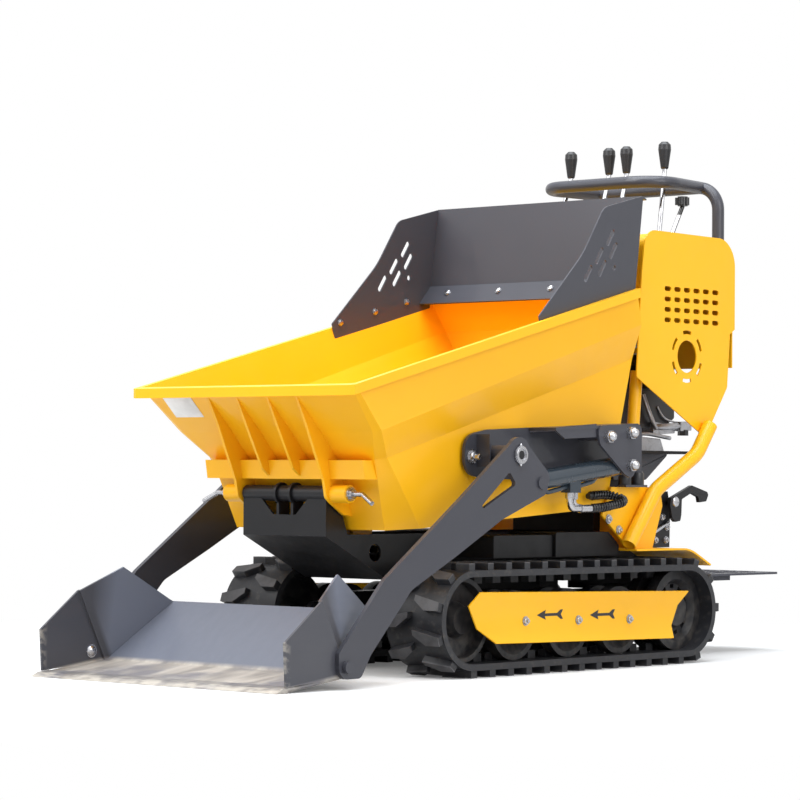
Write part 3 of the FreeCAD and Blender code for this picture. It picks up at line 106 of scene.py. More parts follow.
class CarrierSizes(bpy.types.PropertyGroup):
    bolt_across: bpy.props.FloatProperty(
        name="Bolt width", description="Across the flats of the ordinary bolts",
        default=0.017, unit="LENGTH")
    bolt_high: bpy.props.FloatProperty(
        name="Bolt height", description="Height of a bolt's head", default=0.007, unit="LENGTH")
    weld: bpy.props.FloatProperty(
        name="Weld bead", description="Radius of a weld bead", default=0.0032, unit="LENGTH")
    tread_pitch: bpy.props.FloatProperty(
        name="Tread pitch", description="Distance between the step's raised bars",
        default=0.034, unit="LENGTH")
    hose: bpy.props.FloatProperty(
        name="Hose", description="Diameter of the loader's hoses", default=0.016, unit="LENGTH")


class CarrierStage(bpy.types.PropertyGroup):
    azimuth: bpy.props.FloatProperty(
        name="Azimuth", description="Turn of the camera from the machine's front towards its left",
        default=math.radians(41.18), subtype="ANGLE")
    elevation: bpy.props.FloatProperty(
        name="Elevation", description="Tilt of the view, below zero when it looks up",
        default=math.radians(-1.42), subtype="ANGLE")
    roll: bpy.props.FloatProperty(
        name="Roll", description="Turn of the camera about its view", default=math.radians(0.433),
        subtype="ANGLE")
    place: bpy.props.FloatVectorProperty(
        name="Camera", description="Place of the camera", default=(5.129, -6.148, 0.497),
        subtype="TRANSLATION")
    lens: bpy.props.FloatProperty(
        name="Lens", description="Focal length in millimetres", default=136.35)
    world: bpy.props.FloatProperty(
        name="World light", description="Strength of the even light from all round", default=0.52)
    key: bpy.props.FloatProperty(
        name="Key light", description="Power of the large lamp above the shovel", default=250.0)
    fill: bpy.props.FloatProperty(
        name="Fill light", description="Power of the lamp on the machine's left", default=95.0)
    top: bpy.props.FloatProperty(
        name="Top light", description="Power of the wide lamp overhead", default=280.0)
    floor: bpy.props.FloatVectorProperty(
        name="Floor", description="Colour of the floor", default=(0.62, 0.62, 0.62), subtype="COLOR",
        min=0, max=1)


# Small steps of modelling


def start_piece():
    """Leaves edit mode and drops every selection."""
    if bpy.context.object and bpy.context.object.mode != "OBJECT":
        bpy.ops.object.mode_set(mode="OBJECT")
    bpy.ops.object.select_all(action="DESELECT")


def edit_faces(wanted):
    """Goes into edit mode with only the wanted faces selected, by their centre and normal."""
    if bpy.context.object.mode != "EDIT":
        bpy.ops.object.mode_set(mode="EDIT")
    bpy.ops.mesh.select_mode(type="FACE")
    bpy.ops.mesh.select_all(action="DESELECT")
    shape = bmesh.from_edit_mesh(bpy.context.object.data)
    for face in shape.faces:
        face.select_set(wanted(face.calc_center_median(), face.normal))
    bmesh.update_edit_mesh(bpy.context.object.data)


def extrude_by(x, y, z):
    bpy.ops.mesh.extrude_region_move(TRANSFORM_OT_translate={"value": (x, y, z)})


def apply_place(piece):
    start_piece()
    piece.select_set(True)
    bpy.context.view_layer.objects.active = piece
    bpy.ops.object.transform_apply(location=True, rotation=True, scale=True)


def modelled(piece):
    """Ends a piece's modelling with its place in its mesh."""
    bpy.ops.object.mode_set(mode="OBJECT")
    apply_place(piece)
    return piece


def join(pieces):
    start_piece()
    for piece in pieces:
        piece.select_set(True)
    bpy.context.view_layer.objects.active = pieces[0]
    if len(pieces) > 1:
        bpy.ops.object.join()
    return pieces[0]


def settle(piece, name, finish, body, smooth=35.0):
    """Names the finished piece, paints it and hangs it on its body."""
    apply_place(piece)
    bpy.ops.object.shade_smooth_by_angle(angle=math.radians(smooth))
    piece.name = name
    piece.data.name = name
    piece.data.materials.clear()
    piece.data.materials.append(MATERIALS[finish])
    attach(piece, body)
    return piece


def spread(model, places):
    """Copies the model to each point and outward direction, and joins the copies."""
    copies = []
    for point, outward in places:
        copy = model.copy()
        copy.data = model.data.copy()
        copy.location = point
        copy.rotation_euler = Vector(outward).to_track_quat("Z", "Y").to_euler()
        bpy.context.collection.objects.link(copy)
        copies.append(copy)
    bpy.data.objects.remove(model)
    return join(copies)


def bolt_model(across, high, washer=0.0, stud=0.0):
    """Hexagon head with a raised face, on a washer, with the end of its stud."""
    start_piece()
    radius = across / math.sqrt(3)
    bpy.ops.mesh.primitive_cylinder_add(vertices=6, radius=radius, depth=high, location=(0, 0, high / 2))
    piece = bpy.context.object
    edit_faces(lambda centre, normal: normal.z > 0.9)
    bpy.ops.mesh.inset(thickness=radius * 0.16)
    bpy.ops.transform.translate(value=(0, 0, high * 0.14))
    if stud:
        bpy.ops.mesh.inset(thickness=radius * 0.28)
        extrude_by(0, 0, stud)
        bpy.ops.mesh.inset(thickness=radius * 0.08)
        bpy.ops.transform.translate(value=(0, 0, stud * 0.2))
    if washer:
        bpy.ops.mesh.select_all(action="DESELECT")
        bpy.ops.mesh.primitive_cylinder_add(
            vertices=24, radius=washer, depth=high * 0.3, location=(0, 0, high * 0.15))
    return modelled(piece)


def dome_model(radius, high, collar=0.0):
    """Rounded head, with a flat collar under it where one is given."""
    start_piece()
    bpy.ops.mesh.primitive_uv_sphere_add(segments=24, ring_count=12, radius=radius)
    piece = bpy.context.object
    bpy.ops.object.mode_set(mode="EDIT")
    bpy.ops.mesh.select_all(action="SELECT")
    bpy.ops.mesh.bisect(plane_co=(0, 0, 0), plane_no=(0, 0, 1), use_fill=True, clear_inner=True)
    bpy.ops.mesh.select_all(action="SELECT")
    bpy.ops.transform.resize(value=(1, 1, high / radius), center_override=(0, 0, 0))
    if collar:
        bpy.ops.mesh.select_all(action="DESELECT")
        bpy.ops.mesh.primitive_cylinder_add(
            vertices=32, radius=collar, depth=high * 0.24, location=(0, 0, high * 0.12))
    return modelled(piece)


def sleeve_model(radius, high):
    """Plain round with both rims bevelled and its base on the ground."""
    start_piece()
    bpy.ops.mesh.primitive_cylinder_add(vertices=32, radius=radius, depth=high, location=(0, 0, high / 2))
    piece = bpy.context.object
    edit_faces(lambda centre, normal: abs(normal.z) > 0.9)
    bpy.ops.mesh.bevel(offset=0.0015, segments=2, affect="EDGES")
    return modelled(piece)


def ring_model(outer, inner, high):
    """Flat ring with its base on the ground and a small chamfer at its top."""
    start_piece()
    bpy.ops.mesh.primitive_cylinder_add(vertices=40, radius=outer, depth=high, location=(0, 0, high / 2))
    piece = bpy.context.object
    edit_faces(lambda centre, normal: normal.z > 0.9)
    bpy.ops.mesh.inset(thickness=high * 0.2)
    bpy.ops.transform.translate(value=(0, 0, high * 0.16))
    bpy.ops.mesh.inset(thickness=outer - inner - high * 0.4)
    extrude_by(0, 0, -high * 0.9)
    return modelled(piece)


def bar_model(length, width, high, chamfer):
    """Block with its base on the ground and a bevelled top."""
    start_piece()
    bpy.ops.mesh.primitive_cube_add(size=1, location=(0, 0, high / 2), scale=(length, width, high))
    piece = bpy.context.object
    edit_faces(lambda centre, normal: normal.z > 0.9)
    bpy.ops.mesh.bevel(offset=chamfer, segments=2, affect="EDGES")
    return modelled(piece)


def plate_model(outline, low, thick, corner=0.0):
    """Flat plate from its outline of Y and Z, that starts at X low."""
    start_piece()
    bpy.ops.mesh.primitive_circle_add(vertices=len(outline), fill_type="NGON", location=(0, 0, 0))
    piece = bpy.context.object
    for vertex, (y, z) in zip(piece.data.vertices, outline):
        vertex.co = (low, y, z)
    bpy.ops.object.mode_set(mode="EDIT")
    bpy.ops.mesh.select_all(action="SELECT")
    if corner:
        bpy.ops.mesh.bevel(offset=corner, segments=3, affect="VERTICES")
    extrude_by(thick, 0, 0)
    bpy.ops.mesh.select_all(action="SELECT")
    bpy.ops.mesh.normals_make_consistent(inside=False)
    return modelled(piece)


def sheet_model(rows, thick):
    """Folded sheet through rows of points, with its thickness centred on them."""
    start_piece()
    bpy.ops.mesh.primitive_grid_add(x_subdivisions=len(rows[0]) - 1, y_subdivisions=len(rows) - 1)
    piece = bpy.context.object
    for vertex, point in zip(piece.data.vertices, [point for row in rows for point in row]):
        vertex.co = point
    solid = piece.modifiers.new("sheet", "SOLIDIFY")
    solid.thickness = thick
    solid.offset = 0.0
    bpy.ops.object.modifier_apply(modifier="sheet")
    bpy.ops.object.mode_set(mode="EDIT")
    bpy.ops.mesh.select_all(action="SELECT")
    bpy.ops.mesh.normals_make_consistent(inside=False)
    return modelled(piece)


def curve_data(name, points, radius, kind="NURBS", resolution=10, sides=4):
    """Round line through the points, as curve data of one open spline."""
    data = bpy.data.curves.new(name, "CURVE")
    data.dimensions = "3D"
    data.bevel_depth = radius
    data.bevel_resolution = sides
    data.use_fill_caps = True
    data.resolution_u = resolution
    spline = data.splines.new(kind)
    spline.points.add(len(points) - 1)
    for knot, point in zip(spline.points, points):
        knot.co = (*point, 1)
    if kind == "NURBS":
        spline.order_u = 3
        spline.use_endpoint_u = True
    return data


def as_mesh(data):
    start_piece()
    piece = bpy.data.objects.new(data.name, data)
    bpy.context.collection.objects.link(piece)
    piece.select_set(True)
    bpy.context.view_layer.objects.active = piece
    bpy.ops.object.convert(target="MESH")
    return bpy.context.object


def tube_model(points, radius):
    """Round tube that follows a smooth line through the points' frame, as a mesh."""
    return as_mesh(curve_data("line", points, radius))


def placed(piece, location, rotation=(0, 0, 0)):
    """Moves a finished model to its place and keeps the place in its mesh."""
    piece.location = location
    piece.rotation_euler = rotation
    apply_place(piece)
    return piece


def weld_model(start, end, radius):
    """Rippled weld bead from start to end."""
    start, end = Vector(start), Vector(end)
    length = (end - start).length
    rings = max(4, int(length / (radius * 1.1)))
    start_piece()
    bpy.ops.mesh.primitive_cylinder_add(
        vertices=10, radius=radius, depth=length, location=(start + end) / 2,
        rotation=(end - start).to_track_quat("Z", "Y").to_euler())
    piece = bpy.context.object
    bpy.ops.object.mode_set(mode="EDIT")
    bpy.ops.mesh.select_all(action="SELECT")
    along = (end - start).normalized()
    for i in range(1, rings):
        bpy.ops.mesh.select_all(action="SELECT")
        bpy.ops.mesh.bisect(plane_co=start + along * (length * i / rings), plane_no=along)
    bpy.ops.object.mode_set(mode="OBJECT")
    for vertex in piece.data.vertices:
        step = round((vertex.co.z / length + 0.5) * rings)
        grow = 1.12 if step % 2 else 0.86
        vertex.co.x *= grow
        vertex.co.y *= grow
    apply_place(piece)
    return piece


# Materials


def new_material(name, roughness, metallic=0.0):
    material = bpy.data.materials.new(name)
    material.use_nodes = True
    shader = material.node_tree.nodes["Principled BSDF"]
    shader.inputs["Roughness"].default_value = roughness
    shader.inputs["Metallic"].default_value = metallic
    return material, material.node_tree.nodes, material.node_tree.links, shader


def cloud(nodes, links, scale, detail=3.0, stretch=None):
    """Noise on the piece's own place, stretched along an axis where one is given."""
    place = nodes.new("ShaderNodeTexCoord")
    noise = nodes.new("ShaderNodeTexNoise")
    noise.inputs["Scale"].default_value = scale
    noise.inputs["Detail"].default_value = detail
    if stretch:
        turn = nodes.new("ShaderNodeMapping")
        turn.inputs["Scale"].default_value = stretch
        links.new(place.outputs["Object"], turn.inputs["Vector"])
        links.new(turn.outputs["Vector"], noise.inputs["Vector"])
    else:
        links.new(place.outputs["Object"], noise.inputs["Vector"])
    return noise.outputs["Fac"]


def between(nodes, links, value, low, high, new_low=0.0, new_high=1.0):
    span = nodes.new("ShaderNodeMapRange")
    span.inputs["From Min"].default_value = low
    span.inputs["From Max"].default_value = high
    span.inputs["To Min"].default_value = new_low
    span.inputs["To Max"].default_value = new_high
    links.new(value, span.inputs["Value"])
    return span.outputs["Result"]


def reckon(nodes, links, operation, *values):
    """One step of mathematics on sockets and plain numbers."""
    step = nodes.new("ShaderNodeMath")
    step.operation = operation
    for socket, value in zip(step.inputs, values):
        if isinstance(value, bpy.types.NodeSocket):
            links.new(value, socket)
        else:
            socket.default_value = value
    return step.outputs["Value"]


def times(nodes, links, a, b):
    return reckon(nodes, links, "MULTIPLY", a, b)


def blend(nodes, links, share, a, b):
    """Mixes two colours, each a socket or a plain colour."""
    mix = nodes.new("ShaderNodeMix")
    mix.data_type = "RGBA"
    links.new(share, mix.inputs[0])
    for socket, colour in ((mix.inputs[6], a), (mix.inputs[7], b)):
        if isinstance(colour, bpy.types.NodeSocket):
            links.new(colour, socket)
        else:
            socket.default_value = (*colour[:3], 1)
    return mix.outputs[2]


def height(nodes, links):
    """How high a point of the piece lies above the floor."""
    place = nodes.new("ShaderNodeTexCoord")
    split = nodes.new("ShaderNodeSeparateXYZ")
    links.new(place.outputs["Object"], split.inputs["Vector"])
    return split.outputs


def bump(nodes, links, shader, value, strength, distance=0.001):
    node = nodes.new("ShaderNodeBump")
    node.inputs["Strength"].default_value = strength
    node.inputs["Distance"].default_value = distance
    links.new(value, node.inputs["Height"])
    links.new(node.outputs["Normal"], shader.inputs["Normal"])


def scaled(colour, factor):
    return tuple(min(1.0, channel * factor) for channel in colour)


def paint(name, colour, roughness, coat, peel=0.12, dust=None, dust_high=0.0):
    """Sprayed paint: soft changes of tone, orange peel, a clear coat, and dust near the floor."""
    material, nodes, links, shader = new_material(name, roughness)
    tone = blend(nodes, links, between(nodes, links, cloud(nodes, links, 2.0), 0.35, 0.65),
                 scaled(colour, 0.96), scaled(colour, 1.03))
    if dust is not None:
        low = between(nodes, links, height(nodes, links)["Z"], dust_high, 0.0)
        grains = between(nodes, links, cloud(nodes, links, 40.0, 6.0), 0.4, 0.7)
        tone = blend(nodes, links, times(nodes, links, times(nodes, links, low, grains), 0.16), tone, dust)
    links.new(tone, shader.inputs["Base Color"])
    gloss = between(nodes, links, cloud(nodes, links, 22.0, 4.0), 0.3, 0.7,
                    roughness - 0.05, roughness + 0.09)
    links.new(gloss, shader.inputs["Roughness"])
    shader.inputs["Coat Weight"].default_value = coat
    shader.inputs["Coat Roughness"].default_value = 0.12
    shader.inputs["Specular IOR Level"].default_value = 0.32
    bump(nodes, links, shader, cloud(nodes, links, 260.0, 1.0), peel, 0.0001)
    return material


def metal(name, colour, roughness, brushed=None, grime=0.25):
    """Bare metal with a light brushing and darker stains."""
    material, nodes, links, shader = new_material(name, roughness, 1.0)
    stain = between(nodes, links, cloud(nodes, links, 45.0, 3.0), 0.5, 0.75, 0.0, grime)
    tone = blend(nodes, links, stain, colour, scaled(colour, 0.35))
    links.new(tone, shader.inputs["Base Color"])
    grain = cloud(nodes, links, 180.0, 3.0, brushed)
    links.new(between(nodes, links, grain, 0.3, 0.7, roughness * 0.7, roughness * 1.35),
              shader.inputs["Roughness"])
    bump(nodes, links, shader, grain, 0.05, 0.00005)
    return material


def rubber_material(name, colour, dust, dust_share, loop=None):
    """Moulded rubber; a track's loop, as ends' Y, middle height and radius, gives the worn lug tops."""
    material, nodes, links, shader = new_material(name, 0.5)
    tone = blend(nodes, links, between(nodes, links, cloud(nodes, links, 6.0, 3.0), 0.35, 0.7),
                 scaled(colour, 0.9), scaled(colour, 1.2))
    dirt = between(nodes, links, cloud(nodes, links, 60.0, 5.0), 0.55, 0.8, 0.0, dust_share)
    tone = blend(nodes, links, dirt, tone, dust)
    if loop:
        front, rear, middle, radius = loop
        place = height(nodes, links)
        near = nodes.new("ShaderNodeClamp")
        near.inputs["Min"].default_value = front
        near.inputs["Max"].default_value = rear
        links.new(place["Y"], near.inputs["Value"])
        along = reckon(nodes, links, "SUBTRACT", place["Y"], near.outputs["Result"])
        rise = reckon(nodes, links, "SUBTRACT", place["Z"], middle)
        square = reckon(nodes, links, "ADD", times(nodes, links, along, along),
                        times(nodes, links, rise, rise))
        worn = between(nodes, links, square, (radius - 0.004) ** 2, (radius - 0.001) ** 2)
        rubbed = between(nodes, links, cloud(nodes, links, 25.0, 5.0), 0.3, 0.6, 0.35, 0.9)
        tone = blend(nodes, links, times(nodes, links, worn, rubbed), tone, (0.085, 0.083, 0.088))
    links.new(tone, shader.inputs["Base Color"])
    links.new(between(nodes, links, cloud(nodes, links, 30.0, 4.0), 0.3, 0.7, 0.38, 0.6),
              shader.inputs["Roughness"])
    bump(nodes, links, shader, cloud(nodes, links, 160.0, 3.0), 0.15, 0.0005)
    return material


def plastic(name, colour, roughness):
    material, nodes, links, shader = new_material(name, roughness)
    tone = blend(nodes, links, between(nodes, links, cloud(nodes, links, 12.0), 0.35, 0.65),
                 scaled(colour, 0.85), scaled(colour, 1.2))
    links.new(tone, shader.inputs["Base Color"])
    bump(nodes, links, shader, cloud(nodes, links, 900.0, 2.0), 0.12, 0.0003)
    return material


def shovel_material(paints):
    """Grey paint that the load has scraped to a pale dusty floor, with streaks towards the edge, and a
    painted bluish sky reflection on the back sheet.
    """
    material, nodes, links, shader = new_material("shovel_paint", 0.4)
    edge_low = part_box("cutting_edge")[0]
    place = height(nodes, links)
    floor_slope = 0.126
    rise = reckon(nodes, links, "MULTIPLY_ADD", place["Y"], -floor_slope, floor_slope * (edge_low[1] + 0.04))
    over = reckon(nodes, links, "ADD", place["Z"], rise)
    floor_share = between(nodes, links, over, 0.016, 0.0085)
    grey = blend(nodes, links, between(nodes, links, cloud(nodes, links, 3.0), 0.35, 0.65),
                 scaled(paints.grey, 0.92), scaled(paints.grey, 1.06))
    streak = cloud(nodes, links, 30.0, 6.0, (1.0, 0.12, 1.0))
    worn = blend(nodes, links, between(nodes, links, streak, 0.35, 0.68),
                 (0.27, 0.245, 0.22), (0.52, 0.48, 0.43))
    patches = between(nodes, links, cloud(nodes, links, 7.0, 6.0), 0.36, 0.5)
    worn = blend(nodes, links, patches, (0.2, 0.19, 0.2), worn)
    # Painted reflection: the inside of the back sheet is lightened to a bluish grey that stands in for the
    # sky's sheen on the glossy paint.
    back = between(nodes, links, place["Y"], -0.99, -0.93)
    inner = between(nodes, links, reckon(nodes, links, "ABSOLUTE", place["X"]), 0.396, 0.392)
    grey = blend(nodes, links, times(nodes, links, back, inner), grey, (0.135, 0.15, 0.195))
    tone = blend(nodes, links, floor_share, grey, worn)
    front = between(nodes, links, place["Y"], edge_low[1] + 0.05, edge_low[1])
    scratches = between(nodes, links, cloud(nodes, links, 60.0, 6.0, (0.3, 1.0, 1.0)), 0.45, 0.6)
    tone = blend(nodes, links, times(nodes, links, front, scratches), tone, (0.5, 0.46, 0.4))
    links.new(tone, shader.inputs["Base Color"])
    links.new(between(nodes, links, streak, 0.3, 0.7, 0.34, 0.55), shader.inputs["Roughness"])
    shader.inputs["Coat Weight"].default_value = 0.12
    shader.inputs["Coat Roughness"].default_value = 0.25
    bump(nodes, links, shader, streak, 0.12, 0.0008)
    return material


def throttle_material():
    """Bright rod with a black knob."""
    material, nodes, links, shader = new_material("throttle_metal", 0.2, 1.0)
    knob = between(nodes, links, height(nodes, links)["Z"], 1.214, 1.216)
    links.new(blend(nodes, links, knob, (0.5, 0.5, 0.52), (0.012, 0.012, 0.013)),
              shader.inputs["Base Color"])
    links.new(between(nodes, links, knob, 0.0, 1.0, 1.0, 0.0), shader.inputs["Metallic"])
    return material


def track_loop():
    low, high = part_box("track_left")
    radius = (high[2] - low[2]) / 2
    return low[1] + radius, high[1] - radius, low[2] + radius, radius


def build_materials():
    scene = bpy.context.scene
    paints = scene.carrier_paints
    dust = tuple(paints.dust)
    return {
        "yellow": paint("yellow_paint", tuple(paints.yellow), 0.34, 0.12),
        "grey": paint("grey_paint", tuple(paints.grey), 0.34, 0.18, 0.2),
        "black": paint("black_paint", tuple(paints.black), 0.36, 0.08, 0.2, dust, 0.12),
        # Painted shade: the black paint darkened to 0.45 of itself stands in for the shade on the side boxes
        # and the rear column.
        "shade": paint("side_box_painted_shade", scaled(tuple(paints.black), 0.45), 0.5, 0.0, 0.2),
        "throttle": throttle_material(),
        "slate": paint("slate_paint", tuple(paints.slate), 0.22, 0.3, 0.08),
        "rubber": rubber_material("track_rubber", tuple(paints.rubber), dust, 0.1, track_loop()),
        "wheel": paint("wheel_paint", scaled(tuple(paints.black), 1.15), 0.42, 0.06, 0.3, dust, 0.3),
        "zinc": metal("zinc", (0.52, 0.52, 0.54), 0.24, None, 0.2),
        "chrome": metal("chrome", (0.5, 0.5, 0.52), 0.12, None, 0.1),
        "grip": plastic("grip_plastic", (0.016, 0.016, 0.018), 0.36),
        "alloy": metal("engine_alloy", (0.5, 0.5, 0.52), 0.42, None, 0.5),
        "hose": rubber_material("hose_rubber", (0.012, 0.012, 0.013), dust, 0.04),
        "wrap": plastic("spiral_plastic", (0.012, 0.012, 0.014), 0.22),
        "shovel": shovel_material(paints),
        "step": paint("step_paint", scaled(tuple(paints.grey), 1.3), 0.45, 0.1, 0.3),
        "weld": metal("weld_bead", (0.36, 0.34, 0.4), 0.38, None, 0.6),
        "mark": plastic("arrow_black", (0.012, 0.012, 0.013), 0.4),
        "plate": plastic("blank_plate", (0.78, 0.78, 0.76), 0.3),
        "fuel": plastic("fuel_tank_black", (0.02, 0.02, 0.022), 0.3),
    }


# Pieces


class CARRIER_OT_paint(bpy.types.Operator):
    """Give every part of the machine its paint, rubber or metal"""
    bl_idname = "carrier.paint"
    bl_label = "Paint the parts"

    def execute(self, context):
        MATERIALS.update(build_materials())
        for finish, nodes in PAINTED.items():
            for node in nodes:
                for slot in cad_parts[node].material_slots:
                    slot.material = MATERIALS[finish]
        return {"FINISHED"}


# Track guard's folds, from the top edge down: front Y and Z, rear Y and Z, outward flare
GUARD_FOLDS = (
    (-0.422, 0.211, 0.446, 0.194, 0.013),
    (-0.452, 0.177, 0.414, 0.158, 0.0),
    (-0.420, 0.121, 0.386, 0.104, 0.0),
    (-0.360, 0.083, 0.380, 0.071, 0.013),
)
# Arrow's outline from its tip: distance back along the guard and half its width
ARROW = ((0.0, 0.0), (0.036, 0.0125), (0.032, 0.0035), (0.082, 0.0035), (0.096, 0.012), (0.106, 0.012),
         (0.097, 0.0))


class CARRIER_OT_guards(bpy.types.Operator):
    """Folded track guards with three bolts and two plain arrows on each side"""
    bl_idname = "carrier.guards"
    bl_label = "Track guards"

    def execute(self, context):
        sizes = context.scene.carrier_sizes
        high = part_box("track_guards")[1]
        sheet = 4 * MM
        for side, word in SIDES:
            rows = [[(side * (high[0] - sheet / 2 + flare), y, z) for y, z in ((y0, z0), (y1, z1))]
                    for y0, z0, y1, z1, flare in GUARD_FOLDS]
            guard = settle(sheet_model(rows, sheet), "track_guard_" + word, "yellow", "chassis")
            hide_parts("track_guards")
            outward = LEFT * side
            places = [((side * high[0], y, z), outward)
                      for y, z in ((-0.232, 0.135), (-0.017, 0.131), (0.199, 0.127))]
            bolts = spread(bolt_model(sizes.bolt_across, sizes.bolt_high, 0.012, 0.004), places)
            settle(bolts, "guard_bolts_" + word, "zinc", "chassis")
            arrows = []
            for tip, middle in ((-0.186, 0.148), (0.032, 0.142)):
                outline = [(tip + back, middle + half) for back, half in ARROW]
                outline += [(tip + back, middle - half) for back, half in ARROW[-2:0:-1]]
                arrows.append(plate_model(outline, side * high[0], side * 0.0006))
            settle(join(arrows), "guard_arrows_" + word, "mark", "chassis")
        return {"FINISHED"}


# The skip's rim rises by this share of its way to the rear
RIM_SLOPE = 0.2534


class CARRIER_OT_hopper_bolts(bpy.types.Operator):
    """Bolts along the foot of the hopper and on the skip's sides"""
    bl_idname = "carrier.hopper_bolts"
    bl_label = "Hopper and skip bolts"

    def execute(self, context):
        sizes = context.scene.carrier_sizes
        low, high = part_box("extension_sides")
        inside = high[0] - 4 * MM
        places = []
        for side, _ in SIDES:
            for y in (-0.13, 0.01, 0.14):
                z = low[2] + 0.036 + (y - low[1]) * RIM_SLOPE
                places.append(((side * inside, y, z), LEFT * -side))
        back_y = 0.2415
        for x in (-0.27, -0.09, 0.09, 0.27):
            places.append(((x, back_y - 0.021, 1.0), Vector((0, -1, 0.9))))
        bolts = spread(bolt_model(sizes.bolt_across * 0.85, sizes.bolt_high * 0.8, 0.0095), places)
        settle(bolts, "hopper_bolts", "zinc", "skip")
        return {"FINISHED"}


class CARRIER_OT_shovel_bolts(bpy.types.Operator):
    """Round bolt heads inside the shovel, and nuts and studs on the arms"""
    bl_idname = "carrier.shovel_bolts"
    bl_label = "Shovel bolts"

    def execute(self, context):
        bowl_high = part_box("shovel_bowl")[1]
        arm_low, arm_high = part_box("loader_arm_left")
        sheet = 6 * MM
        bolt_z = 52 * MM
        bolt_y = arm_low[1] + 0.024
        second_y = bolt_y - 0.026
        domes = []
        nuts = []
        caps = []
        for side, _ in SIDES:
            domes.append(((side * (bowl_high[0] - sheet), second_y, bolt_z + 0.003), LEFT * -side))
            nuts.append(((side * (arm_high[0] - 12 * MM), bolt_y, bolt_z), LEFT * side))
            caps.append(((side * (arm_high[0] - 4 * MM), bolt_y, bolt_z), LEFT * side))
        settle(spread(dome_model(0.014, 0.008, 0.0165), domes), "shovel_round_heads",
               "zinc", "loader")
        studs = join([spread(bolt_model(0.022, 0.008, 0.0135), nuts),
                      spread(dome_model(0.0085, 0.004), caps)])
        settle(studs, "shovel_side_nuts", "zinc", "loader")
        return {"FINISHED"}


class CARRIER_OT_pivot_rings(bpy.types.Operator):
    """Rings, grease nipples and cap nuts at the loader's pivots"""
    bl_idname = "carrier.pivot_rings"
    bl_label = "Pivot rings and cap nuts"

    def execute(self, context):
        pin_low, pin_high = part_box("loader_pivot_pins")
        nut_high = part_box("bracket_nuts")[1]
        pivot_y = (pin_low[1] + pin_high[1]) / 2
        pivot_z = (pin_low[2] + pin_high[2]) / 2
        cap_face = pin_high[0]
        bands = []
        discs = []
        nipples = []
        caps = []
        for side, _ in SIDES:
            bands.append(((side * (cap_face - 0.5 * MM), pivot_y, pivot_z), LEFT * side))
            discs.append(((side * (cap_face - 0.2 * MM), pivot_y, pivot_z), LEFT * side))
            for lift in (1, -1):
                nipples.append(((side * (cap_face - 3 * MM), pivot_y, pivot_z + lift * 0.0228),
                                Vector((side * 0.35, 0, lift))))
            for y, z in ((0.060, 0.600), (0.154, 0.611), (0.157, 0.527)):
                caps.append(((side * nut_high[0], y, z), LEFT * side))
        settle(spread(ring_model(0.0215, 0.0145, 0.004), bands), "pivot_bands",
               "zinc", "chassis")
        settle(spread(dome_model(0.0143, 0.0012), discs), "pivot_plugs",
               "black", "chassis")
        settle(spread(dome_model(0.0035, 0.006, 0.0048), nipples), "grease_nipples",
               "zinc", "chassis")
        settle(spread(dome_model(0.0135, 0.0155, 0.0), caps), "cap_nuts",
               "zinc", "chassis")
        return {"FINISHED"}


POST_X = 0.320


class CARRIER_OT_bracket_fittings(bpy.types.Operator):
    """Front bolts of the loader brackets and the bolts of the gussets"""
    bl_idname = "carrier.bracket_fittings"
    bl_label = "Bracket and gusset bolts"

    def execute(self, context):
        sizes = context.scene.carrier_sizes
        bracket_face = 0.316
        gusset_face = 0.310
        fronts = []
        gussets = []
        cushions = []
        for side, _ in SIDES:
            fronts.append(((side * bracket_face, -0.376, 0.544), LEFT * side))
            for y, z in ((0.193, 0.386), (0.238, 0.357), (0.372, 0.430), (0.352, 0.382)):
                gussets.append(((side * gusset_face, y, z), LEFT * side))
        for side, _ in SIDES:
            for y in (0.250, 0.306):
                cushions.append(((side * POST_X, y, 0.474), UP))
        settle(spread(sleeve_model(0.0175, 0.034), cushions), "bracket_cushions",
               "grip", "chassis")
        settle(spread(bolt_model(0.026, 0.012, 0.019, 0.012), fronts), "bracket_front_bolts",
               "zinc", "chassis")
        settle(spread(bolt_model(sizes.bolt_across, sizes.bolt_high, 0.0125, 0.003), gussets),
               "gusset_bolts", "zinc", "chassis")
        return {"FINISHED"}


class CARRIER_OT_welds(bpy.types.Operator):
    """Weld beads on the loader brackets, round the pivots and along their faces"""
    bl_idname = "carrier.welds"
    bl_label = "Weld beads"

    def execute(self, context):
        radius = context.scene.carrier_sizes.weld
        pin_low, pin_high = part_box("loader_pivot_pins")
        pivot_y = (pin_low[1] + pin_high[1]) / 2
        pivot_z = (pin_low[2] + pin_high[2]) / 2
        face = 0.3165
        beads = []
        for side, _ in SIDES:
            ring = 0.0245
            count = 14
            for i in range(count):
                a = 2 * math.pi * i / count
                b = 2 * math.pi * (i + 1) / count
                beads.append(weld_model(
                    (side * face, pivot_y + ring * math.cos(a), pivot_z + ring * math.sin(a)),
                    (side * face, pivot_y + ring * math.cos(b), pivot_z + ring * math.sin(b)), radius))
            beads.append(weld_model((side * face, -0.349, 0.523), (side * face, -0.349, 0.597), radius))
            beads.append(weld_model((side * face, -0.145, 0.6105), (side * face, 0.185, 0.626), radius * 0.8))
        settle(join(beads), "bracket_welds", "weld", "chassis")
        return {"FINISHED"}


class CARRIER_OT_front_plate(bpy.types.Operator):
    """Blank white plate on the skip's front"""
    bl_idname = "carrier.front_plate"
    bl_label = "Blank plate"

    def execute(self, context):
        plate = bar_model(0.098, 0.068, 0.0012, 0.0005)
        slope = Vector((0, 0.114, -0.111)).normalized()
        outward = Vector((0, -0.111, -0.114)).normalized()
        start = Vector((-0.255, -0.864, 0.711)) + slope * 0.070
        turn = Matrix((LEFT, slope * -1, outward)).transposed().to_4x4()
        plate.matrix_world = Matrix.Translation(start + outward * 0.0002) @ turn
        settle(plate, "front_plate", "plate", "skip")
        return {"FINISHED"}


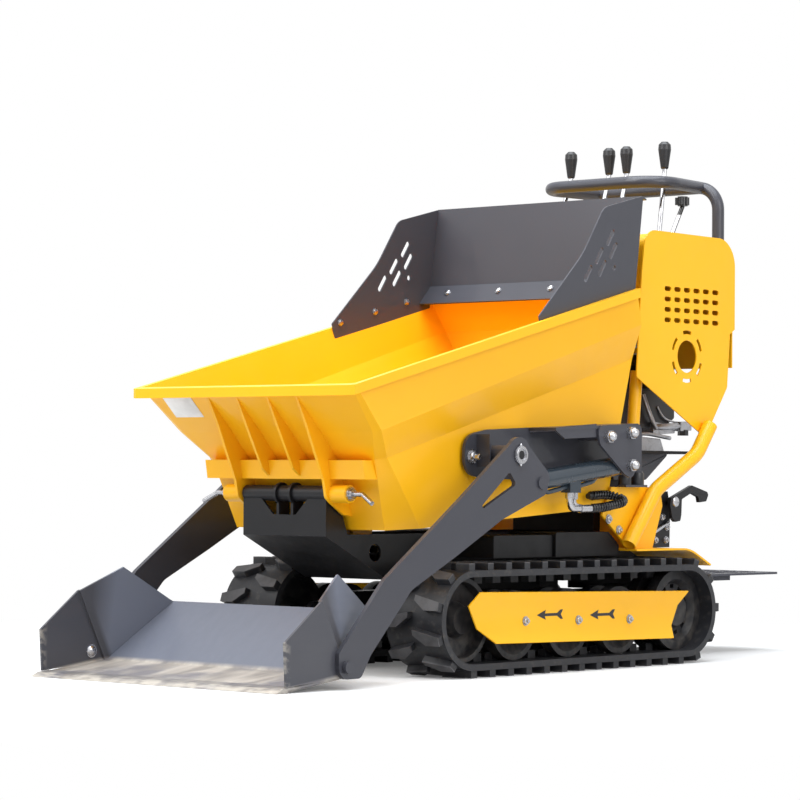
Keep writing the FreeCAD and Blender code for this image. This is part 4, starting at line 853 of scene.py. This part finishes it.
class CARRIER_OT_step_tread(bpy.types.Operator):
    """Raised slanted bars on the driver's step"""
    bl_idname = "carrier.step_tread"
    bl_label = "Step tread"

    def execute(self, context):
        low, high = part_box("platform")
        pitch = context.scene.carrier_sizes.tread_pitch
        top = 226 * MM
        bars = []
        front = low[1] + 0.055
        rows = int((high[1] - front - 0.012) / pitch)
        columns = int((high[0] - low[0] - 0.02) / pitch)
        for row in range(rows):
            for column in range(columns):
                x = low[0] + 0.027 + column * pitch
                y = front + row * pitch
                tilt = 0.7 if (row + column) % 2 else -0.7
                bars.append(((x, y, top - 0.0004), tilt))
        model = bar_model(0.026, 0.0065, 0.0022, 0.0012)
        copies = []
        for point, tilt in bars:
            copy = model.copy()
            copy.data = model.data.copy()
            copy.location = point
            copy.rotation_euler = (0, 0, tilt)
            context.collection.objects.link(copy)
            copies.append(copy)
        bpy.data.objects.remove(model)
        settle(join(copies), "step_tread", "step", "step")
        return {"FINISHED"}


# The left hose's route from its port, through the elbow and round behind the bracket's lip
HOSE_ROUTE = (
    (0.372, -0.0518, 0.4556),
    (0.372, -0.0518, 0.4160),
    (0.372, -0.0200, 0.4145),
    (0.372, 0.0300, 0.4145),
    (0.372, 0.0850, 0.4170),
    (0.372, 0.1350, 0.4240),
    (0.371, 0.1800, 0.4310),
    (0.347, 0.2040, 0.4400),
    (0.325, 0.1800, 0.4490),
    (0.322, 0.1400, 0.4500),
    (0.322, 0.0900, 0.4460),
)
# Metal on the hose's first part: start and end along it, radius
HOSE_METAL = ((0.0, 0.014, 0.0115), (0.012, 0.078, 0.0088), (0.074, 0.080, 0.0112), (0.080, 0.116, 0.0106))


class CARRIER_OT_hoses(bpy.types.Operator):
    """The loader's hoses with their spiral wrap"""
    bl_idname = "carrier.hoses"
    bl_label = "Hoses"

    def execute(self, context):
        diameter = context.scene.carrier_sizes.hose
        for side, word in SIDES:
            route = [Vector((side * x, y, z)) for x, y, z in HOSE_ROUTE]
            start_piece()
            data = curve_data("hose", route, diameter / 2, resolution=16, sides=5)
            hose = bpy.data.objects.new("loader_hose_" + word, data)
            context.collection.objects.link(hose)
            data.materials.append(MATERIALS["hose"])
            line = self.line(data)
            wrap = self.wrap(line, word, diameter)
            metal_parts = [tube_model(self.stretch_of(line, start, end), radius)
                           for start, end, radius in HOSE_METAL]
            elbow = settle(join(metal_parts), "hose_elbow_" + word, "zinc", "chassis")
            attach(hose, "chassis")
            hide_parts("loader_hoses")
        return {"FINISHED"}

    def line(self, data):
        """Points along the hose's middle, read from its spline without a bevel."""
        depth = data.bevel_depth
        data.bevel_depth = 0
        bare = bpy.data.objects.new("bare", data)
        mesh = bpy.data.meshes.new_from_object(bare)
        points = [vertex.co.copy() for vertex in mesh.vertices]
        bpy.data.objects.remove(bare)
        bpy.data.meshes.remove(mesh)
        data.bevel_depth = depth
        return points

    def stretch_of(self, line, start, end):
        """The line's points between two distances along it."""
        points = []
        reach = 0.0
        for a, b in zip(line, line[1:]):
            step = (b - a).length
            if not points and reach + step >= start:
                points.append(a.lerp(b, (start - reach) / step))
            if points and reach + step >= end:
                points.append(a.lerp(b, (end - reach) / step))
                return points
            if points and reach + step > start + 0.0005:
                points.append(b)
            reach += step
        return points

    def wrap(self, line, word, diameter):
        """Plastic spiral wound closely round the hose."""
        turn_pitch = 0.0105
        bare_end = HOSE_METAL[-1][1] + 0.003
        reach = [0.0]
        for a, b in zip(line, line[1:]):
            reach.append(reach[-1] + (b - a).length)
        steps = int((reach[-1] - bare_end) / turn_pitch * 10)
        points = []
        at = 0
        for step in range(steps):
            travel = bare_end + (reach[-1] - bare_end - 0.01) * step / steps
            while reach[at + 1] < travel:
                at += 1
            share = (travel - reach[at]) / (reach[at + 1] - reach[at])
            middle = line[at].lerp(line[at + 1], share)
            along = (line[at + 1] - line[at]).normalized()
            across = along.cross(UP).normalized()
            lift = across.cross(along).normalized()
            angle = 2 * math.pi * travel / turn_pitch
            radius = diameter / 2 + 0.0014
            points.append(middle + across * (radius * math.cos(angle)) + lift * (radius * math.sin(angle)))
        data = curve_data("wrap", points, 0.0034, "POLY", sides=1)
        return settle(as_mesh(data), "hose_wrap_" + word, "wrap",
                      "chassis", 60)


class CARRIER_OT_fittings(bpy.types.Operator):
    """Bright fittings under the loader cylinders' ports"""
    bl_idname = "carrier.fittings"
    bl_label = "Hose fittings"

    def execute(self, context):
        for side, word in SIDES:
            x = side * 0.372
            y = -0.0458
            second_x = x - side * 0.004
            second = [(second_x, y + 0.018, 0.458), (second_x, y + 0.018, 0.44), (second_x, y + 0.019, 0.428),
                      (second_x, y + 0.03, 0.4215), (second_x, y + 0.05, 0.42)]
            pieces = [tube_model(second, 0.0055)]
            pieces.append(placed(bolt_model(0.017, 0.016), (second_x, y + 0.018, 0.4565), (math.pi, 0, 0)))
            settle(join(pieces), "port_fittings_" + word, "zinc",
                   "lift_barrel_" + word)
        return {"FINISHED"}


# Engine's plates that show at the side: name, outline of Y and Z, lowest X, thickness, finish
ENGINE_PLATES = (
    ("engine_bed", ((0.36, 0.562), (0.602, 0.562), (0.602, 0.556), (0.505, 0.489), (0.36, 0.489)),
     -0.2, 0.4, "grey"),
    ("engine_foot", ((0.40, 0.567), (0.602, 0.567), (0.585, 0.602), (0.40, 0.612)),
     0.03, 0.16, "alloy"),
    ("engine_cover", ((0.40, 0.63), (0.60, 0.63), (0.655, 0.66), (0.655, 0.80), (0.40, 0.80)),
     0.07, 0.115, "fuel"),
    ("engine_pump", ((0.545, 0.612), (0.645, 0.618), (0.645, 0.640), (0.545, 0.648)),
     0.09, 0.105, "alloy"),
    ("drain_end", ((0.652, 0.624), (0.704, 0.626), (0.704, 0.652), (0.652, 0.650)),
     0.185, 0.024, "alloy"),
)
# Engine's bright lines: points, radius
ENGINE_LINES = (
    (((0.190, 0.504, 0.722), (0.197, 0.512, 0.690), (0.2, 0.530, 0.655), (0.195, 0.556, 0.630)), 0.0065),
    (((0.190, 0.470, 0.612), (0.196, 0.500, 0.617), (0.2, 0.560, 0.610), (0.2, 0.615, 0.604)), 0.0055),
    (((0.190, 0.560, 0.634), (0.2, 0.600, 0.636), (0.2, 0.655, 0.638)), 0.009),
    (((0.187, 0.575, 0.690), (0.190, 0.585, 0.668), (0.193, 0.620, 0.650), (0.196, 0.660, 0.648)), 0.0028),
)


class CARRIER_OT_engine_dressing(bpy.types.Operator):
    """Small parts of the petrol engine: fuel tank, cap, shields, cables and bolts"""
    bl_idname = "carrier.engine_dressing"
    bl_label = "Engine dressing"

    def execute(self, context):
        case_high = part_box("engine_crankcase")[1]
        self.fuel_tank(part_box("engine_cylinder")[1])
        self.shields(*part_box("silencer"))
        self.cover_slots(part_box("starter_cover")[0])
        self.pipes()
        bolts = []
        for y in (0.44, 0.60):
            for z in (0.60, 0.70):
                bolts.append(((case_high[0] - 0.040, y, z), LEFT))
        settle(spread(bolt_model(0.013, 0.006, 0.009), bolts), "crankcase_bolts",
               "zinc", "chassis")
        return {"FINISHED"}

    def fuel_tank(self, head_high):
        start_piece()
        low = head_high[2] + 0.012
        bpy.ops.mesh.primitive_cube_add(size=1, location=(0.0, 0.53, low + 0.05), scale=(0.30, 0.21, 0.10))
        tank = bpy.context.object
        edit_faces(lambda centre, normal: True)
        bpy.ops.mesh.bevel(offset=0.028, segments=5, affect="EDGES")
        tank = modelled(tank)
        cap = placed(bolt_model(0.045, 0.02), (0.06, 0.53, low + 0.1))
        feet = [placed(bar_model(0.02, 0.02, 0.016, 0.003), (x, 0.53, head_high[2] - 0.002))
                for x in (-0.05, 0.05)]
        settle(join([tank, cap] + feet), "fuel_tank", "fuel", "chassis")

    def shields(self, low, high):
        """Bright heat shield with slots round the silencer."""
        pieces = []
        for step in range(7):
            pieces.append(placed(bar_model(0.008, high[1] - low[1] + 0.016, 0.003, 0.001),
                                 (low[0] + 0.02 + step * 0.02, (low[1] + high[1]) / 2, high[2])))
        start_piece()
        bpy.ops.mesh.primitive_cylinder_add(
            vertices=28, radius=0.021, depth=0.05, location=(high[0] - 0.03, 0.52, 0.764),
            rotation=(0, math.pi / 2, 0))
        guard = bpy.context.object
        edit_faces(lambda centre, normal: normal.z > 0.9)
        bpy.ops.mesh.inset(thickness=0.004)
        extrude_by(-0.02, 0, 0)
        pieces.append(modelled(guard))
        settle(join(pieces), "silencer_shield", "alloy", "chassis")

    def cover_slots(self, low):
        """Ribs on the recoil starter's face."""
        ribs = []
        for step in range(10):
            turn = 2 * math.pi * step / 10
            rib = bar_model(0.034, 0.006, 0.004, 0.001)
            rib.matrix_world = (
                Matrix.Translation((low[0], 0.520, 0.662)) @ Matrix.Rotation(turn, 4, "X")
                @ Matrix.Translation((0.0, 0.0, 0.034)) @ Matrix.Rotation(-math.pi / 2, 4, "Y"))
            apply_place(rib)
            ribs.append(rib)
        settle(join(ribs), "starter_ribs", "grip", "chassis")

    def pipes(self):
        """Side of the engine that shows below the console: its bed, pump, lines and drain."""
        for name, outline, low, thick, finish in ENGINE_PLATES:
            settle(plate_model(outline, low, thick, 0.004), name, finish, "chassis")
        lines = [tube_model(points, radius) for points, radius in ENGINE_LINES]
        settle(join(lines), "engine_lines", "alloy", "chassis")
        knob = placed(bolt_model(0.026, 0.014), (0.2, 0.676, 0.612))
        settle(knob, "drain_knob", "grip", "chassis")


# Brake's plate and hook, as outlines of Y and Z
BRAKE_PIVOT = (0.562, 0.430)
BRAKE_PLATE = ((0.510, 0.458), (0.557, 0.458), (0.566, 0.421), (0.568, 0.386), (0.566, 0.306),
               (0.454, 0.306), (0.472, 0.380))
BRAKE_HOOK = ((0.541, 0.441), (0.636, 0.475), (0.709, 0.457), (0.714, 0.449), (0.704, 0.431),
              (0.671, 0.428), (0.667, 0.443), (0.634, 0.454), (0.590, 0.437), (0.588, 0.394),
              (0.583, 0.378), (0.560, 0.375), (0.546, 0.386), (0.536, 0.422))


class CARRIER_OT_control_details(bpy.types.Operator):
    """Collars of the levers, bolts of the handle's feet and the brake's spring"""
    bl_idname = "carrier.control_details"
    bl_label = "Control details"

    def execute(self, context):
        hood_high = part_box("console_hood")[1]
        collars = []
        for x in (-0.220, -0.072, -0.006, 0.128):
            y = 0.640 if x < 0.1 else 0.662
            collars.append(((x, y, hood_high[2] - 0.004), UP))
        settle(spread(ring_model(0.026, 0.016, 0.006), collars), "lever_collars",
               "grip", "chassis")
        handle_bolts = []
        for side, _ in SIDES:
            for z in (0.915, 1.075):
                handle_bolts.append(((side * 0.238, 0.802, z), Vector((0, 1, 0))))
        settle(spread(bolt_model(0.015, 0.007, 0.011), handle_bolts), "handle_bolts",
               "zinc", "chassis")
        self.brake()
        return {"FINISHED"}

    def brake(self):
        """Hooked flat bar on its plate beside the left gusset, with bolts and the return spring."""
        face = 0.236
        plate = plate_model(BRAKE_PLATE, face - 0.008, 0.008)
        boss = tube_model([(x, *BRAKE_PIVOT) for x in (face - 0.004, face + 0.011, face + 0.026)], 0.011)
        plate = settle(join([plate, boss]), "brake_bracket", "black", "chassis")
        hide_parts("brake_plate")
        hook = settle(plate_model(BRAKE_HOOK, face + 0.014, 0.010, 0.0025), "brake_hook",
                      "black", "chassis")
        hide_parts("brake_lever")
        nuts = [((face, y, z), LEFT) for y, z in (
            (0.531, 0.389), (0.552, 0.361), (0.548, 0.326), (0.472, 0.326), (0.500, 0.326))]
        cap = placed(dome_model(0.0145, 0.006), (face + 0.0238, *BRAKE_PIVOT),
                     LEFT.to_track_quat("Z", "Y").to_euler())
        spring = tube_model([(face + 0.0045, y, z) for y, z in (
            (0.474, 0.340), (0.515, 0.357), (0.555, 0.374))], 0.0048)
        fittings = join([spread(bolt_model(0.015, 0.006, 0.010, 0.003), nuts), cap, spring])
        settle(fittings, "brake_fittings", "zinc", "chassis")


class CARRIER_OT_stage(bpy.types.Operator):
    """Floor, soft lamps and the camera"""
    bl_idname = "carrier.stage"
    bl_label = "Stage"

    def execute(self, context):
        stage = context.scene.carrier_stage
        self.floor(stage)
        self.lamps(stage)
        self.world(stage)
        self.camera(stage)
        context.scene.view_settings.view_transform = "Standard"
        return {"FINISHED"}

    def floor(self, stage):
        """Pale floor that keeps the shadow near the machine and runs out into the white background."""
        start_piece()
        bpy.ops.mesh.primitive_plane_add(size=60, location=(0, 0, -0.0005))
        floor = bpy.context.object
        apply_place(floor)
        floor.name = "floor"
        material, nodes, links, shader = new_material("floor_pale", 0.9)
        shader.inputs["Base Color"].default_value = (*stage.floor, 1)
        shader.inputs["Specular IOR Level"].default_value = 0.0
        seen = nodes.new("ShaderNodeBsdfDiffuse")
        seen.inputs["Color"].default_value = (0.97, 0.97, 0.97, 1)
        plain = nodes.new("ShaderNodeEmission")
        plain.inputs["Color"].default_value = (1, 1, 1, 1)
        place = nodes.new("ShaderNodeTexCoord")
        reach = nodes.new("ShaderNodeVectorMath")
        reach.operation = "LENGTH"
        links.new(place.outputs["Object"], reach.inputs[0])
        away = between(nodes, links, reach.outputs["Value"], 1.2, 2.6, 0.1, 1.0)
        near = nodes.new("ShaderNodeMixShader")
        links.new(away, near.inputs["Fac"])
        links.new(seen.outputs["BSDF"], near.inputs[1])
        links.new(plain.outputs["Emission"], near.inputs[2])
        ray = nodes.new("ShaderNodeLightPath")
        whole = nodes.new("ShaderNodeMixShader")
        links.new(ray.outputs["Is Camera Ray"], whole.inputs["Fac"])
        links.new(shader.outputs["BSDF"], whole.inputs[1])
        links.new(near.outputs["Shader"], whole.inputs[2])
        links.new(whole.outputs["Shader"], nodes["Material Output"].inputs["Surface"])
        floor.data.materials.append(material)

    def lamps(self, stage):
        lamps = (
            # name, power, size, colour, place, aimed at
            ("key", stage.key, 4.0, (1, 1, 1), (-1.5, -4.2, 4.6), (0, -0.2, 0.5)),
            ("fill", stage.fill, 3.0, (1, 1, 1), (4.6, -0.6, 2.6), (0, 0, 0.6)),
            ("top", stage.top, 4.0, (0.9, 0.95, 1.0), (0.2, -0.4, 4.6), (0, 0, 0.5)),
        )
        for name, power, size, colour, place, aim in lamps:
            light = bpy.data.lights.new(name, "AREA")
            light.energy = power
            light.color = colour
            light.size = size
            lamp = bpy.data.objects.new(name, light)
            lamp.location = place
            lamp.rotation_euler = (Vector(aim) - Vector(place)).to_track_quat("-Z", "Y").to_euler()
            bpy.context.collection.objects.link(lamp)

    def world(self, stage):
        world = bpy.data.worlds.new("soft_white")
        bpy.context.scene.world = world
        world.use_nodes = True
        nodes = world.node_tree.nodes
        links = world.node_tree.links
        background = nodes["Background"]
        background.inputs["Color"].default_value = (1, 1, 1, 1)
        ray = nodes.new("ShaderNodeLightPath")
        clear = reckon(nodes, links, "MAXIMUM", ray.outputs["Is Camera Ray"],
                       ray.outputs["Is Transmission Ray"])
        either = reckon(nodes, links, "MAXIMUM", clear, ray.outputs["Is Glossy Ray"])
        links.new(between(nodes, links, either, 0.0, 1.0, stage.world, 1.0), background.inputs["Strength"])

    def camera(self, stage):
        lens = bpy.data.cameras.new("camera")
        lens.lens = stage.lens
        lens.sensor_width = 36
        lens.clip_end = 100
        camera = bpy.data.objects.new("camera", lens)
        bpy.context.collection.objects.link(camera)
        flat = math.cos(stage.elevation)
        view = Vector((-math.sin(stage.azimuth) * flat, math.cos(stage.azimuth) * flat,
                       -math.sin(stage.elevation)))
        turn = view.to_track_quat("-Z", "Y").to_matrix().to_4x4() @ Matrix.Rotation(stage.roll, 4, "Z")
        camera.matrix_world = Matrix.Translation(stage.place) @ turn
        bpy.context.scene.camera = camera


class CARRIER_PT_panel(bpy.types.Panel):
    bl_idname = "CARRIER_PT_panel"
    bl_label = "Crawler carrier"
    bl_space_type = "VIEW_3D"
    bl_region_type = "UI"
    bl_category = "Carrier"

    def draw(self, context):
        layout = self.layout
        for group in (context.scene.carrier_paints, context.scene.carrier_sizes,
                      context.scene.carrier_stage):
            box = layout.box()
            for name in group.bl_rna.properties.keys():
                if name not in ("rna_type", "name"):
                    box.prop(group, name)
        for operator in OPERATORS:
            layout.operator(operator.bl_idname)


GROUPS = (CarrierPaints, CarrierSizes, CarrierStage)
OPERATORS = (
    CARRIER_OT_paint, CARRIER_OT_guards, CARRIER_OT_hopper_bolts, CARRIER_OT_shovel_bolts,
    CARRIER_OT_pivot_rings, CARRIER_OT_bracket_fittings, CARRIER_OT_welds, CARRIER_OT_front_plate,
    CARRIER_OT_step_tread, CARRIER_OT_hoses, CARRIER_OT_fittings, CARRIER_OT_engine_dressing,
    CARRIER_OT_control_details, CARRIER_OT_stage)


def register():
    for item in GROUPS + OPERATORS + (CARRIER_PT_panel,):
        bpy.utils.register_class(item)
    bpy.types.Scene.carrier_paints = bpy.props.PointerProperty(type=CarrierPaints)
    bpy.types.Scene.carrier_sizes = bpy.props.PointerProperty(type=CarrierSizes)
    bpy.types.Scene.carrier_stage = bpy.props.PointerProperty(type=CarrierStage)


def unregister():
    del bpy.types.Scene.carrier_stage
    del bpy.types.Scene.carrier_sizes
    del bpy.types.Scene.carrier_paints
    for item in reversed(GROUPS + OPERATORS + (CARRIER_PT_panel,)):
        bpy.utils.unregister_class(item)


def main():
    register()
    for operator in OPERATORS:
        group, name = operator.bl_idname.split(".")
        getattr(getattr(bpy.ops, group), name)()


if __name__ == "__main__":
    main()
